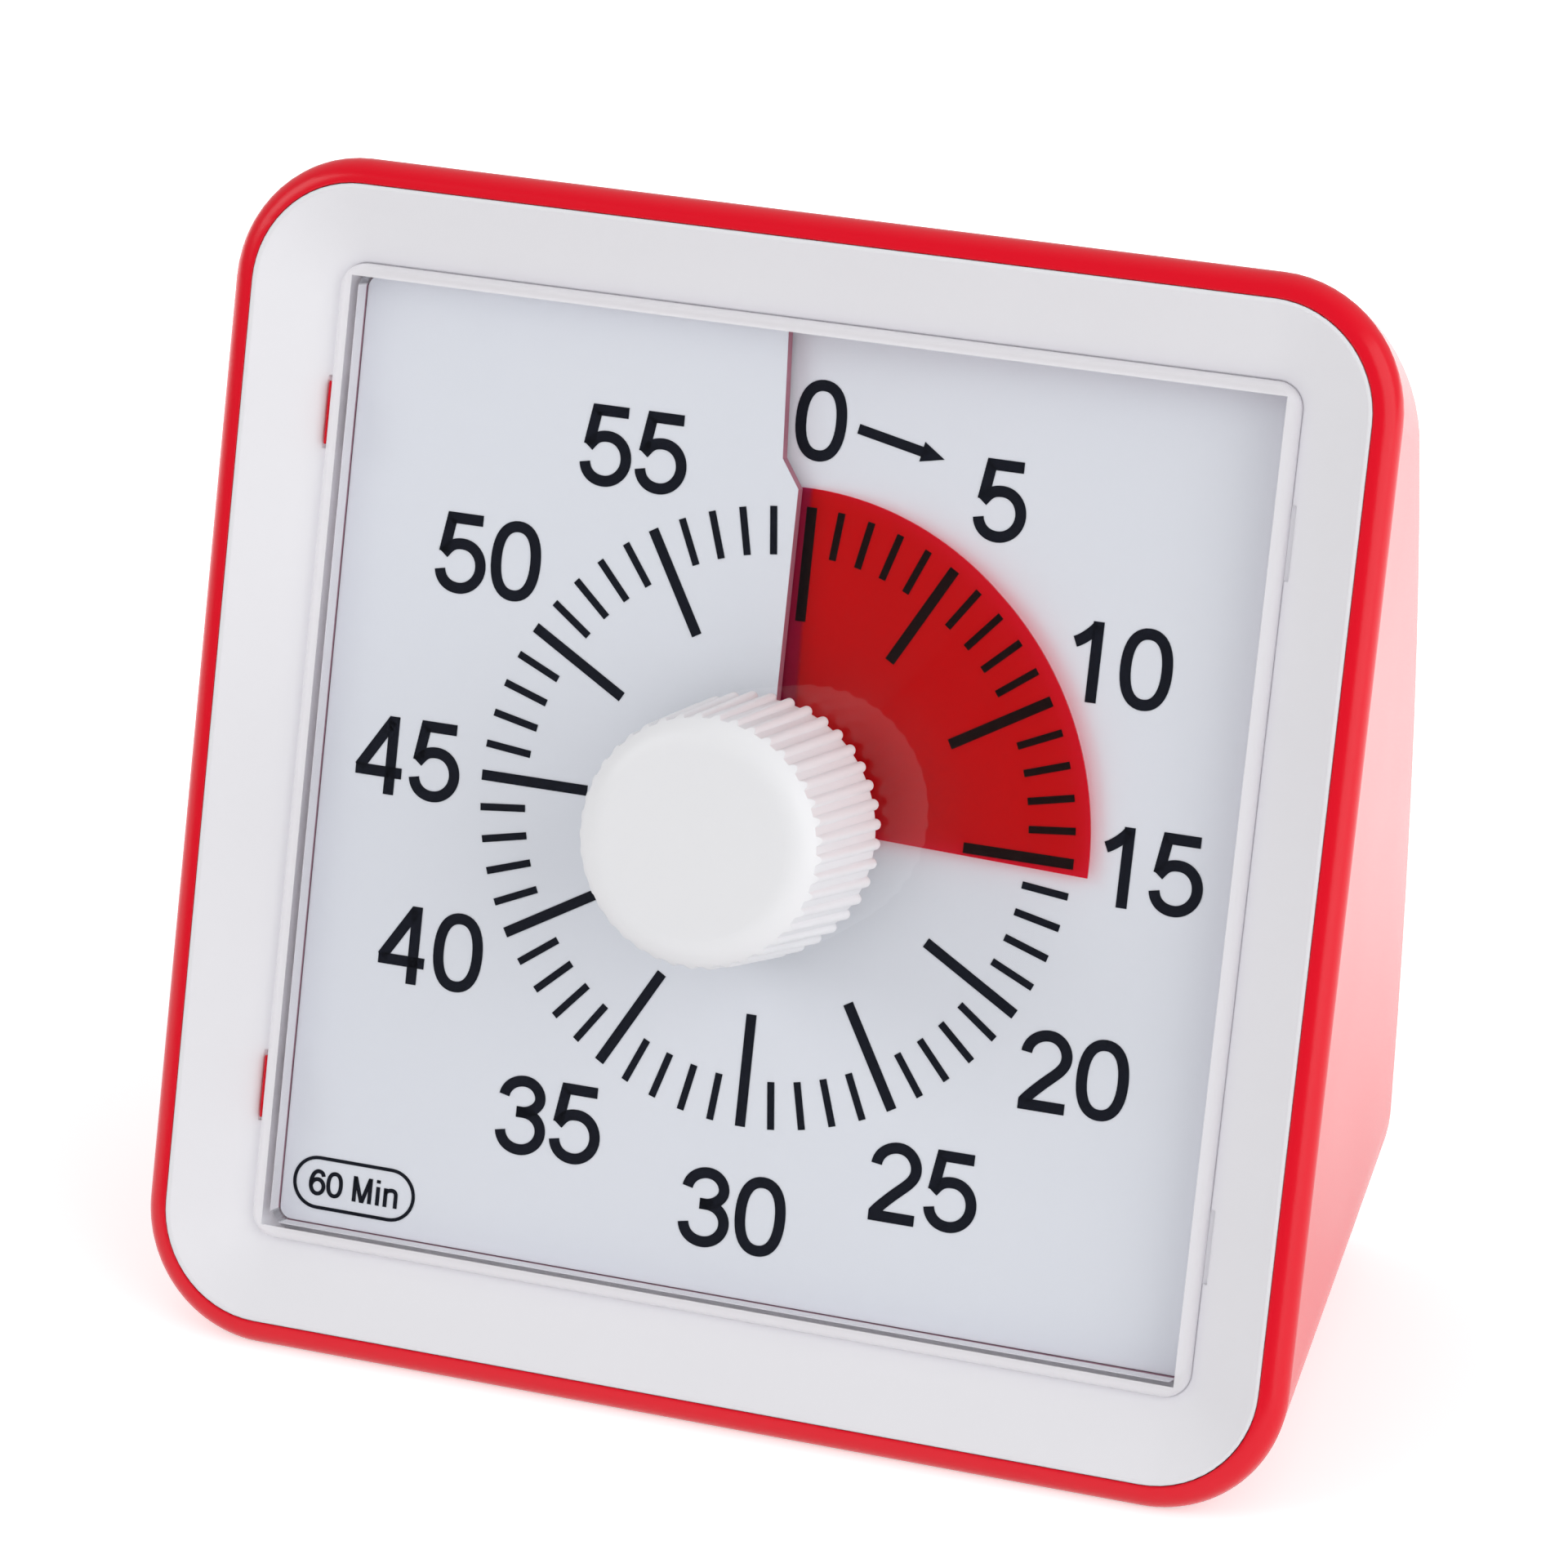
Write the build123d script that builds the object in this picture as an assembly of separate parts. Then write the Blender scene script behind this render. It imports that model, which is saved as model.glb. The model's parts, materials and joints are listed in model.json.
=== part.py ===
from build123d import *
import os
from math import acos, atan2, ceil, cos, degrees, pi, radians, sin, sqrt, tan

# Visual countdown timer. Sizes in millimetres.
# Pieces are drawn in the dial's frame: X right, Y up the face, Z out of the face,
# with the origin on the dial's axis at the level of the plate's high side.
# Rear features are drawn in the stand's frame: X right, Y back, Z up, with the
# origin under the rim's lower edge. The finished part stands in that frame.

# ---- driving dimensions: casing ----
FACE_SIZE = 89.2
FACE_CORNER = 9.8
FACE_LEAN = 17.5            # degrees, back from upright
RIM_FRONT = 5.7             # rim's front above the dial level
RIM_BACK = 4.0              # where the rim ends and the sides start to draw in
RIM_ROUND = 1.7
RIM_WIDTH = 1.8
SIDE_DRAFT = 5.7            # degrees
TOP_DRAFT = 6.8             # degrees
REAR_CORNER = 14.0
SHELL_REACH = 50.0          # how far back the drawn-in shell runs before the rear wall cuts it
WALL = 1.5
SHELL_CLEAR = 0.2          # between the shell and what lies close in front of it
BASE_DEPTH = 44.5           # rim's lower edge to the rear wall
BASE_SKIM = 0.02            # the drawn-in sides run this far down past the flat base that ends them
REAR_UPRIGHT = 17.4         # height where the rear wall starts to curve forward
REAR_TOP_ROOM = 1.05        # between the rim's back and the rear wall, at the top of the face
REAR_EDGE_ROUND = 2.0

# ---- bezel, window and plate ----
BEZEL_GAP = 0.05
BEZEL_LAND = 0.3
BEZEL_SEAT = 3.6
SEAT_WIDTH = 0.9             # ledge inside the rim that the bezel rests on
SEAT_THICK = 1.2
BEZEL_SKIN = 1.8
BEZEL_BORDER = 7.7          # from the window's edge to the outside of the face
WINDOW_CORNER = 2.0
WINDOW_LIP = 2.3
WINDOW_WALL = 1.6
LEDGE_WIDTH = 1.0
LEDGE_TOP = -0.6
LEDGE_THICK = 1.2
LENS_GAP = 0.1
LENS_FRONT = 3.3
LENS_THICK = 1.5
LENS_SKIRT = 0.9
LENS_ROUND = 0.5
TAB_LENGTH = 5.2
TAB_SPACING = 51.0
TAB_DROP = 3.0
TAB_BARB = 0.8
TAB_SLOT_GAP = 0.35
PLATE_GAP = 0.06
PLATE_THICK = 1.0
PLATE_DROP = 1.45           # depth of the low side beside the slit
RAMP_ANGLE = 158.0          # clockwise from 12 o'clock, where the ramp is level again
SLIT_WIDTH = 0.35
SLIT_JOG_START = 26.4
SLIT_JOG_END = 24.3
SLIT_OUTER_X = -1.95
SLIT_LEAN = 0.06            # how far it leans to the left above the jog, per mm of height
SLIT_INNER_X = -0.5
SLIT_LAP = 0.8              # how far the low side runs on under the high side
SLIT_LAP_THICK = 0.7
PLATE_CORNER = 1.0
BAND_STEP = 15.0            # degrees between the sections of a spiral band

# ---- red film ----
FILM_RADIUS = 24.4
FILM_THICK = 0.15
FILM_SLIT_LEVEL = -1.15      # where the film passes the slit
FILM_TOP_LEVEL = 0.3
FILM_RISE_ANGLE = 39.5
FILM_LOW_LEVEL = -2.6
FILM_FALL_ANGLE = 151.5
REST_MINUTES = 15.0
FULL_MINUTES = 60.0

# ---- knob, shaft and hub ----
KNOB_BASE = 4.2
KNOB_TOP = 17.0
KNOB_TIP_RADIUS = 9.8
KNOB_TOP_SCALE = 0.929
KNOB_RIBS = 41
RIB_RADIUS = 0.42
RIB_FADE = 0.55             # share of the ribs' height that is left at the knob's front
KNOB_EDGE_ROUND = 2.4
KNOB_WALL = 1.7
BOSS_RADIUS = 4.2
BOSS_GAP = 0.4
SHAFT_RADIUS = 1.5
SHAFT_FRONT = 12.0
SHAFT_CHAMFER = 0.3
BEARING_LENGTH = 1.5
SHAFT_SHOULDER = 2.6
RUNNING_GAP = 0.05
PRESS_GAP = 0.01
HUB_TOP = 0.95
HUB_RADIUS = 4.0
HUB_GAP = 0.2
HUB_FLANGE_RADIUS = 5.8
HUB_FLANGE_TOP = -3.0
HUB_FLANGE_THICK = 0.5
PLATE_HOLE_RADIUS = 6.6

# ---- chassis and movement ----
CHASSIS_FRONT = -3.8
CHASSIS_THICK = 1.5
CHASSIS_SIDE = 5.6          # from the chassis's edges to the outside of the face
CHASSIS_ABOVE = 18.6
CHASSIS_BELOW = 19.6
BUSH_RADIUS = 3.0
POST_SIDE = 9.3             # from the posts to the outside of the face
POST_END = 25.1
POST_RADIUS = 3.6
POST_BORE = 2.8
POST_FLOOR = 3.2
STUD_RADIUS = 3.0
SPIGOT_RADIUS = 2.2
SPIGOT_GAP = 0.1
SCREW_RADIUS = 1.1
SCREW_HEAD_RADIUS = 2.5
SCREW_HEAD_HEIGHT = 1.5
SCREW_SKIN = 0.3
MAIN_TEETH = 60
MAIN_MODULE = 0.45
PINION_TEETH = 12
WHEEL_TEETH = 50
MOTOR_MODULE = 0.4
MOTOR_TEETH = 10
TOOTH_SLACK = 0.06
ADDENDUM = 0.85
DEDENDUM = 1.15
PRESSURE_ANGLE = 20.0
GEAR_DIRECTION = 225.0      # from the dial's axis to the intermediate gear
MOTOR_DIRECTION = 0.0       # from the intermediate gear to the motor
WHEEL_THICK = 1.2
SPOKES = 5
WHEEL_HOLE_RADIUS = 2.2
MOTOR_SHAFT_RADIUS = 0.6
MOTOR_SHAFT_DEPTH = 1.5
MOTOR_WIDTH = 12.0
MOTOR_LENGTH = 9.0
MOTOR_CORNER = 1.5
MOTOR_ROOM = 0.5
COIL_RADIUS = 1.9
COIL_LENGTH = 14.0
COIL_FLANGE = 0.8
COIL_FLANGE_RADIUS = 2.4
SHOULDER_LENGTH = 1.1
LAYER_GAP = 0.2
PIN_RADIUS = 0.75
HUB_WALL = 0.6
CASE_WALL = 1.2
CASE_DEPTH = 10.6
CASE_LEFT = 23.6
CASE_RIGHT = 17.0
CASE_TOP = 15.2
CASE_BOTTOM = 23.6
CASE_CORNER = 3.0
COLUMN_RADIUS = 2.4
COLUMN_INSET = 2.8
CASE_SCREW_RADIUS = 0.8
CASE_SCREW_HEAD = 1.5
CASE_SCREW_RECESS = 0.9
CLUTCH_RADIUS = 5.0
CLUTCH_SHEET = 0.25
CLUTCH_HEIGHT = 0.8
COLLAR_RADIUS = 3.2
COLLAR_LENGTH = 1.0
CAM_RADIUS = 6.0
CAM_NOTCH = 1.2
CAM_THICK = 1.2
LEAF_GAP = 0.35
LEAF_WIDTH = 3.0
LEAF_SHEET = 0.2
LEAF_FOOT = 2.0
CHIP_RADIUS = 2.2
CRYSTAL_RADIUS = 1.0
CRYSTAL_LENGTH = 6.0
BOARD_GAP = 0.3
BOARD_Y = -3.5
BOARD_THICK = 1.0
BOARD_WIDTH = 7.0
BOARD_LENGTH = 26.0
BOARD_LIFT = 1.3

# ---- battery bay, door, buzzer and switch, in the stand's frame ----
CELL_RADIUS = 7.25
CELL_LENGTH = 49.2
CELL_NUB_RADIUS = 2.6
CELL_NUB_LENGTH = 1.3
CELL_HEIGHT = 13.0
CELL_GAP = 0.35
CONTACT_ROOM = 3.6
CONTACT_SHEET = 0.4
CONTACT_WIDTH = 8.0
CONTACT_HEIGHT = 12.0
CELL_ROUND = 0.6
BAY_WALL = 1.2
DOOR_THICK = 1.8
DOOR_GAP = 0.2
DOOR_CORNER = 2.5
CATCH_WIDTH = 9.0
CATCH_DEPTH = 2.0
CATCH_THICK = 1.0
GRIP_RIBS = 5
GRIP_PITCH = 1.8
GRIP_WIDTH = 0.7
GRIP_PROUD = 0.4
BUZZER_SIDE = 16.6          # from the buzzer and the switch to the outside of the face
BUZZER_HEIGHT = 38.0
BUZZER_RADIUS = 7.5
BUZZER_THICK = 4.5
BUZZER_GAP = 0.1
RING_WALL = 1.2
SOUND_HOLE_RADIUS = 0.8
SWITCH_HEIGHT = 38.0
SWITCH_TRAVEL = 3.0
SLIDER_WIDTH = 4.0
SLIDER_HEIGHT = 3.0
SLIDER_PROUD = 1.0
SWITCH_GAP = 0.2
SWITCH_BODY_LENGTH = 12.0
SWITCH_BODY_HEIGHT = 5.0
SWITCH_BODY_DEPTH = 4.0
SLIDER_FLANGE = 1.0
RAIL_WALL = 1.2
RING_DEPTH = 2.5

# ---- values worked out from the above ----
HALF = FACE_SIZE / 2
WINDOW_SIZE = FACE_SIZE - 2 * BEZEL_BORDER
REAR_RISE = FACE_SIZE * cos(radians(FACE_LEAN)) - REAR_UPRIGHT
REAR_DRAW = BASE_DEPTH - FACE_SIZE * sin(radians(FACE_LEAN)) - REAR_TOP_ROOM
REAR_RADIUS = (REAR_DRAW ** 2 + REAR_RISE ** 2) / (2 * REAR_DRAW)
CHASSIS_WIDTH = FACE_SIZE - 2 * CHASSIS_SIDE
CHASSIS_TOP = HALF - CHASSIS_ABOVE
CHASSIS_BOTTOM = HALF - CHASSIS_BELOW
POST_X = HALF - POST_SIDE
POST_Y = HALF - POST_END
BUZZER_X = HALF - BUZZER_SIDE
SWITCH_X = BUZZER_SIDE - HALF
BEZEL_POCKET = FACE_SIZE - 2 * RIM_WIDTH
BEZEL_SIZE = BEZEL_POCKET - 2 * BEZEL_GAP
MOUTH_SIZE = BEZEL_POCKET - 2 * SEAT_WIDTH
BEZEL_CORNER = FACE_CORNER - RIM_WIDTH
PLATE_SIZE = WINDOW_SIZE - 2 * LEDGE_WIDTH - 2 * PLATE_GAP
STUD_SHOULDER = LEDGE_TOP - LEDGE_THICK - LENS_GAP
SCREW_TIP = STUD_SHOULDER - SCREW_SKIN
CHASSIS_BACK = CHASSIS_FRONT - CHASSIS_THICK
CASE_BACK = CHASSIS_BACK - CASE_DEPTH
CASE_FLOOR = CASE_BACK + CASE_WALL
MAIN_FRONT = CHASSIS_BACK - LAYER_GAP - SHOULDER_LENGTH
MAIN_BACK = MAIN_FRONT - WHEEL_THICK
CLUTCH_BACK = MAIN_BACK - CLUTCH_HEIGHT
COLLAR_BACK = CLUTCH_BACK - COLLAR_LENGTH
CAM_FRONT = COLLAR_BACK - LAYER_GAP
GEAR_DISTANCE = MAIN_MODULE * (MAIN_TEETH + PINION_TEETH) / 2
MOTOR_DISTANCE = MOTOR_MODULE * (WHEEL_TEETH + MOTOR_TEETH) / 2
GEAR_X = GEAR_DISTANCE * cos(radians(GEAR_DIRECTION))
GEAR_Y = GEAR_DISTANCE * sin(radians(GEAR_DIRECTION))
MOTOR_X = GEAR_X + MOTOR_DISTANCE * cos(radians(MOTOR_DIRECTION))
MOTOR_Y = GEAR_Y + MOTOR_DISTANCE * sin(radians(MOTOR_DIRECTION))
GEAR_WHEEL_FRONT = MAIN_BACK - 3 * LAYER_GAP
MOTOR_TOP = GEAR_WHEEL_FRONT - WHEEL_THICK - MOTOR_ROOM
SHAFT_TAIL = CASE_FLOOR + LAYER_GAP
REST_ANGLE = 360 * REST_MINUTES / FULL_MINUTES
STANDING = (Align.CENTER, Align.CENTER, Align.MIN)
BOARD_FRONT = CASE_FLOOR + BOARD_LIFT + BOARD_THICK
BAY_LENGTH = CELL_LENGTH + CELL_NUB_LENGTH + 2 * CONTACT_ROOM
CELL_BACK = BASE_DEPTH - DOOR_THICK - CELL_GAP - CELL_RADIUS
STAND_IN_DIAL = Location((0, -HALF, RIM_BACK), (FACE_LEAN - 90, 0, 0))
CORNERS = [(-1, 1), (1, 1), (-1, -1), (1, -1)]


def stand(shape):
    """Move a shape drawn in the stand's frame into the dial's frame."""
    return shape.moved(STAND_IN_DIAL)


def slab(sketch, low, high):
    """Extrude a sketch from one level to another."""
    return extrude(Pos(0, 0, low) * sketch, high - low)


def disc(radius, low, high, x=0.0, y=0.0):
    """Round bar along the dial's normal."""
    return Pos(x, y, (low + high) / 2) * Cylinder(radius, high - low)


def bar_back(radius, x, front, back, height):
    """Round bar that runs back, in the stand's frame."""
    return Pos(x, (front + back) / 2, height) * Rot(90, 0, 0) * Cylinder(radius, back - front)


def block(x0, x1, y0, y1, z0, z1):
    """Box between its six faces."""
    return Pos((x0 + x1) / 2, (y0 + y1) / 2, (z0 + z1) / 2) * Box(x1 - x0, y1 - y0, z1 - z0)


def rounded_square(size, corner):
    return RectangleRounded(size, size, corner)


def post_places():
    """Where the four posts stand behind the dial."""
    for side, up in CORNERS:
        yield side * POST_X, up * POST_Y


def column_places():
    """Where the movement's three screws go."""
    left, right = COLUMN_INSET - CASE_LEFT, CASE_RIGHT - COLUMN_INSET
    yield left, CASE_TOP - COLUMN_INSET
    yield right, CASE_TOP - COLUMN_INSET
    yield right, COLUMN_INSET - CASE_BOTTOM


# ---- casing ----
def shell_section(depth, inset, skim=0.0):
    """Outline of the shell at a depth behind the rim, drawn in by its drafts."""
    width = FACE_SIZE - 2 * depth * tan(radians(SIDE_DRAFT)) - 2 * inset
    top = HALF - depth * tan(radians(TOP_DRAFT)) - inset
    bottom = depth * tan(radians(FACE_LEAN)) - HALF + inset / cos(radians(FACE_LEAN)) - skim
    corner = FACE_CORNER + (REAR_CORNER - FACE_CORNER) * depth / SHELL_REACH - inset
    outline = RectangleRounded(width, top - bottom, corner)
    return Pos(0, (top + bottom) / 2, RIM_BACK - depth) * outline


def rear_face(inset):
    """Side view of all that lies in front of the rear wall, as a prism across X."""
    back = BASE_DEPTH - inset
    radius = REAR_RADIUS - inset
    top = FACE_SIZE
    start = (back, REAR_UPRIGHT)
    angle = degrees((top - REAR_UPRIGHT) / radius)
    arc = CenterArc((back - radius, REAR_UPRIGHT), radius, 0, angle)
    end = arc @ 1
    outline = Polyline((back, -HALF), start) + arc
    outline += Polyline(end, (-HALF, end.Y), (-HALF, -HALF), (back, -HALF))
    side = make_face(Plane.YZ * outline)
    return stand(extrude(side, HALF, both=True))


def shell_solid():
    """Solid shape of the shell behind the rim, on its flat base."""
    sides = loft([shell_section(0, 0, BASE_SKIM), shell_section(SHELL_REACH, 0, BASE_SKIM)], ruled=True)
    above_base = block(-FACE_SIZE, FACE_SIZE, -FACE_SIZE, FACE_SIZE, 0, 2 * FACE_SIZE)
    return sides & rear_face(0) & stand(above_base)


def rear_edges(shape):
    """Edges between the rear wall and the sides."""
    frame = Plane(STAND_IN_DIAL)
    found = []
    for edge in shape.edges():
        points = [frame.to_local_coords(edge @ t) for t in (0.1, 0.5, 0.9)]
        backs = [abs(p.Y - rear_depth(p.Z)) for p in points]
        if max(backs) < 0.05:
            found.append(edge)
    return found


def rear_depth(height):
    """How far back the outer rear wall lies at a height."""
    rise = max(0.0, height - REAR_UPRIGHT)
    return BASE_DEPTH - REAR_RADIUS + sqrt(REAR_RADIUS ** 2 - rise ** 2)


def rim():
    """Upright rim round the face, with its outer edge rounded."""
    outline = rounded_square(FACE_SIZE, FACE_CORNER)
    solid = slab(outline, RIM_BACK - RIM_ROUND, RIM_FRONT)
    solid = fillet(solid.faces().sort_by(Axis.Z)[-1].edges(), RIM_ROUND)
    return solid & slab(outline, RIM_BACK, RIM_FRONT)


def trough(length, wall, back):
    """Half-round trough about the cell, open to the rear, in the stand's frame."""
    radius = CELL_RADIUS + CELL_GAP + wall
    half = length / 2 + wall
    bar = Pos(0, CELL_BACK, CELL_HEIGHT) * Rot(0, 90, 0) * Cylinder(radius, 2 * half)
    mouth = block(-half, half, CELL_BACK, back, CELL_HEIGHT - radius, CELL_HEIGHT + radius)
    return bar + mouth


def door_span():
    """Lower and upper edge of the battery bay's mouth."""
    radius = CELL_RADIUS + CELL_GAP
    return CELL_HEIGHT - radius, CELL_HEIGHT + radius


def sound_holes():
    """Small holes through the rear wall behind the buzzer: one in the middle and six round it."""
    ring = BUZZER_RADIUS / 2
    spots = [(0.0, 0.0)]
    for k in range(6):
        spots.append((ring * cos(k * pi / 3), ring * sin(k * pi / 3)))
    front = buzzer_seat() - WALL
    for x, z in spots:
        yield bar_back(SOUND_HOLE_RADIUS, BUZZER_X + x, front, BASE_DEPTH + WALL, BUZZER_HEIGHT + z)


def buzzer_seat():
    """How far back the buzzer's flat seat on the rear wall lies."""
    return rear_depth(BUZZER_HEIGHT + BUZZER_RADIUS + RING_WALL) - WALL


def switch_seat():
    """How far back the flat pad behind the sound switch lies."""
    return rear_depth(SWITCH_HEIGHT + SWITCH_BODY_HEIGHT / 2 + RAIL_WALL) - WALL


def switch_block(length, height, front, back):
    """Box centred on the sound switch, in the stand's frame."""
    x0, z0 = SWITCH_X - length / 2, SWITCH_HEIGHT - height / 2
    return block(x0, x0 + length, front, back, z0, z0 + height)


def switch_pad():
    """Pad on the rear wall with two rails that hold the switch."""
    seat = switch_seat()
    length = SWITCH_BODY_LENGTH + 2 * SWITCH_GAP + 2 * RAIL_WALL
    height = SWITCH_BODY_HEIGHT + 2 * RAIL_WALL
    pad = switch_block(length, height, seat - SWITCH_BODY_DEPTH, BASE_DEPTH)
    room = SWITCH_BODY_LENGTH + 2 * SWITCH_GAP
    return pad - switch_block(room, 2 * height, 0, seat)


def switch_slot():
    """Slot through the rear wall for the slider."""
    length = SLIDER_WIDTH + SWITCH_TRAVEL + 2 * SWITCH_GAP
    height = SLIDER_HEIGHT + 2 * SWITCH_GAP
    return switch_block(length, height, switch_seat() - WALL, BASE_DEPTH + WALL)


def housing():
    """Red rear shell with rim, posts, battery bay, buzzer ring and openings."""
    outer = shell_solid()
    outer = fillet(rear_edges(outer), REAR_EDGE_ROUND)
    outer = outer + rim()
    seat_back = RIM_BACK - BEZEL_SEAT + SEAT_THICK
    inner = loft([shell_section(seat_back, WALL), shell_section(SHELL_REACH, WALL)], ruled=True)
    opening = rounded_square(MOUTH_SIZE, BEZEL_CORNER - SEAT_WIDTH)
    mouth = slab(opening, BEZEL_SEAT - 2 * SEAT_THICK, RIM_FRONT)
    pocket = slab(rounded_square(BEZEL_POCKET, BEZEL_CORNER), BEZEL_SEAT, RIM_FRONT + WALL)
    body = outer - ((inner + mouth) & rear_face(WALL)) - pocket

    posts = [disc(POST_RADIUS, -SHELL_REACH, CHASSIS_BACK, x, y) for x, y in post_places()]
    bay = stand(trough(BAY_LENGTH, BAY_WALL, BASE_DEPTH - WALL / 2))
    seat = buzzer_seat()
    mouth = seat - RING_DEPTH
    ring_radius = BUZZER_RADIUS + BUZZER_GAP + RING_WALL
    ring = bar_back(ring_radius, BUZZER_X, mouth, BASE_DEPTH, BUZZER_HEIGHT)
    for extra in [*posts, bay, stand(ring), stand(switch_pad())]:
        body += extra & outer

    body -= stand(trough(BAY_LENGTH, 0, BASE_DEPTH + WALL))
    body -= stand(door_recess())
    body -= stand(bar_back(BUZZER_RADIUS + BUZZER_GAP, BUZZER_X, mouth - WALL, seat, BUZZER_HEIGHT))
    for hole in sound_holes():
        body -= stand(hole)
    for x, y in post_places():
        body -= disc(POST_BORE, -2 * SHELL_REACH, CHASSIS_BACK - POST_FLOOR, x, y)
        body -= disc(SCREW_RADIUS + SPIGOT_GAP, CHASSIS_BACK - POST_FLOOR - 1, CHASSIS_BACK + 1, x, y)
    body -= stand(switch_slot())
    return body


def door_recess():
    """Shallow recess that the battery door's edge sits in, in the stand's frame."""
    half = BAY_LENGTH / 2 + BAY_WALL + DOOR_GAP
    low, high = door_span()
    lift = BAY_WALL + DOOR_GAP
    mouth = RectangleRounded(2 * half, high - low + 2 * lift, DOOR_CORNER)
    return door_slab(mouth, 2 * DOOR_THICK)


def door_slab(outline, thick):
    """Slab over the battery bay's mouth, its front face at the bottom of the door's recess."""
    panel = extrude(Plane.XZ * outline, -thick)
    return Pos(0, BASE_DEPTH - DOOR_THICK, CELL_HEIGHT) * panel


def bezel_dish(drop):
    """Space above the sloping face of the bezel, lowered by drop."""
    low = rounded_square(WINDOW_SIZE, WINDOW_CORNER)
    top_size = BEZEL_SIZE - 2 * BEZEL_LAND
    high = rounded_square(top_size, BEZEL_CORNER - BEZEL_LAND)
    sections = [Pos(0, 0, WINDOW_LIP - drop) * low, Pos(0, 0, RIM_FRONT - drop) * high]
    dish = loft(sections, ruled=True)
    return dish + slab(high, RIM_FRONT - drop, RIM_FRONT + WALL)


def tab_places():
    """Side and height of the lens's four snap tabs."""
    for side, up in CORNERS:
        yield side, up * TAB_SPACING / 2


def bezel():
    """White front frame with its sloping face, window wall and ledge."""
    wall_size = WINDOW_SIZE + 2 * WINDOW_WALL
    wall = slab(rounded_square(wall_size, WINDOW_CORNER + WINDOW_WALL), LEDGE_TOP - LEDGE_THICK, RIM_FRONT)
    skirt_size = MOUTH_SIZE - 2 * SHELL_CLEAR
    skirt = rounded_square(skirt_size, BEZEL_CORNER - SEAT_WIDTH - SHELL_CLEAR)
    body = slab(rounded_square(BEZEL_SIZE, BEZEL_CORNER), BEZEL_SEAT, RIM_FRONT)
    body += slab(skirt, LEDGE_TOP - LEDGE_THICK, BEZEL_SEAT)
    body -= slab(skirt, -RIM_FRONT, RIM_FRONT) - wall - bezel_dish(BEZEL_SKIN)
    body -= bezel_dish(0)
    body -= slab(rounded_square(WINDOW_SIZE, WINDOW_CORNER), LEDGE_TOP, RIM_FRONT)
    ledge_size = WINDOW_SIZE - 2 * LEDGE_WIDTH
    body -= slab(rounded_square(ledge_size, WINDOW_CORNER - LEDGE_WIDTH), -RIM_FRONT, RIM_FRONT)
    for side, y in tab_places():
        inner = side * (WINDOW_SIZE / 2 - LEDGE_WIDTH - PLATE_GAP)
        outer = side * (WINDOW_SIZE / 2 + TAB_SLOT_GAP)
        half = TAB_LENGTH / 2 + LENS_GAP
        body -= block(min(inner, outer), max(inner, outer), y - half, y + half, -RIM_FRONT, RIM_FRONT)
    return body & rear_face(WALL + SHELL_CLEAR)


def lens():
    """Clear window: flat front, skirt and four snap tabs."""
    size = WINDOW_SIZE - 2 * LENS_GAP
    corner = WINDOW_CORNER - LENS_GAP
    body = slab(rounded_square(size, corner), LEDGE_TOP, LENS_FRONT)
    body = fillet(body.faces().sort_by(Axis.Z)[-1].edges(), LENS_ROUND)
    inside = size - 2 * LENS_SKIRT
    body -= slab(rounded_square(inside, corner - LENS_SKIRT), LEDGE_TOP - 1, LENS_FRONT - LENS_THICK)
    body -= disc(BOSS_RADIUS + BOSS_GAP, LEDGE_TOP, LENS_FRONT + 1)
    low = LEDGE_TOP - TAB_DROP
    for side, y in tab_places():
        edge = size / 2
        half = TAB_LENGTH / 2
        foot = LEDGE_TOP - LEDGE_THICK - LENS_GAP
        tab = block(edge - LENS_SKIRT, edge, y - half, y + half, low, LEDGE_TOP + LENS_GAP)
        points = [(edge - LENS_SKIRT, foot), (edge + TAB_BARB, foot), (edge, low), (edge - LENS_SKIRT, low)]
        barb = extrude(Plane.XZ.offset(-y - half) * make_face(Polyline(*points, close=True)), 2 * half)
        tab += barb
        body += tab if side > 0 else mirror(tab, Plane.YZ)
    return body


# ---- dial plate and film ----
def on_dial(clock_angle, radius, level):
    """Point at an angle clockwise from 12 o'clock."""
    turn = radians(clock_angle)
    return (radius * sin(turn), radius * cos(turn), level)


def radial_section(clock_angle, inner, outer, top, thick):
    """Upright rectangle along one radius."""
    corners = [(inner, top - thick), (outer, top - thick), (outer, top), (inner, top)]
    points = [on_dial(clock_angle, radius, level) for radius, level in corners]
    return make_face(Polyline(*points, close=True))


def spiral_band(start, end, inner, outer, level, thick):
    """Band that winds clockwise round the axis, its top following level(angle)."""
    count = ceil((end - start) / BAND_STEP)
    angles = [start + (end - start) * k / count for k in range(count + 1)]
    sections = [radial_section(angle, inner, outer, level(angle), thick) for angle in angles]
    return loft(sections, ruled=True)


def plate_level(clock_angle):
    """Level of the plate's face at an angle clockwise from the slit."""
    return -PLATE_DROP * max(0.0, 1 - max(0.0, clock_angle) / RAMP_ANGLE)


def slit_route():
    """Middle line of the slit, from the plate's upper edge to its hole."""
    top = PLATE_SIZE
    top_x = SLIT_OUTER_X - SLIT_LEAN * (top - SLIT_JOG_START)
    upper = [(top_x, top), (SLIT_OUTER_X, SLIT_JOG_START)]
    return upper + [(SLIT_INNER_X, SLIT_JOG_END), (SLIT_INNER_X, 0)]


def slit_cut():
    """Open gap along the slit."""
    left = [(x - SLIT_WIDTH / 2, y) for x, y in slit_route()]
    right = [(x + SLIT_WIDTH / 2, y) for x, y in reversed(slit_route())]
    outline = make_face(Polyline(*left, *right, close=True))
    return slab(outline, -PLATE_SIZE, PLATE_SIZE)


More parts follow.
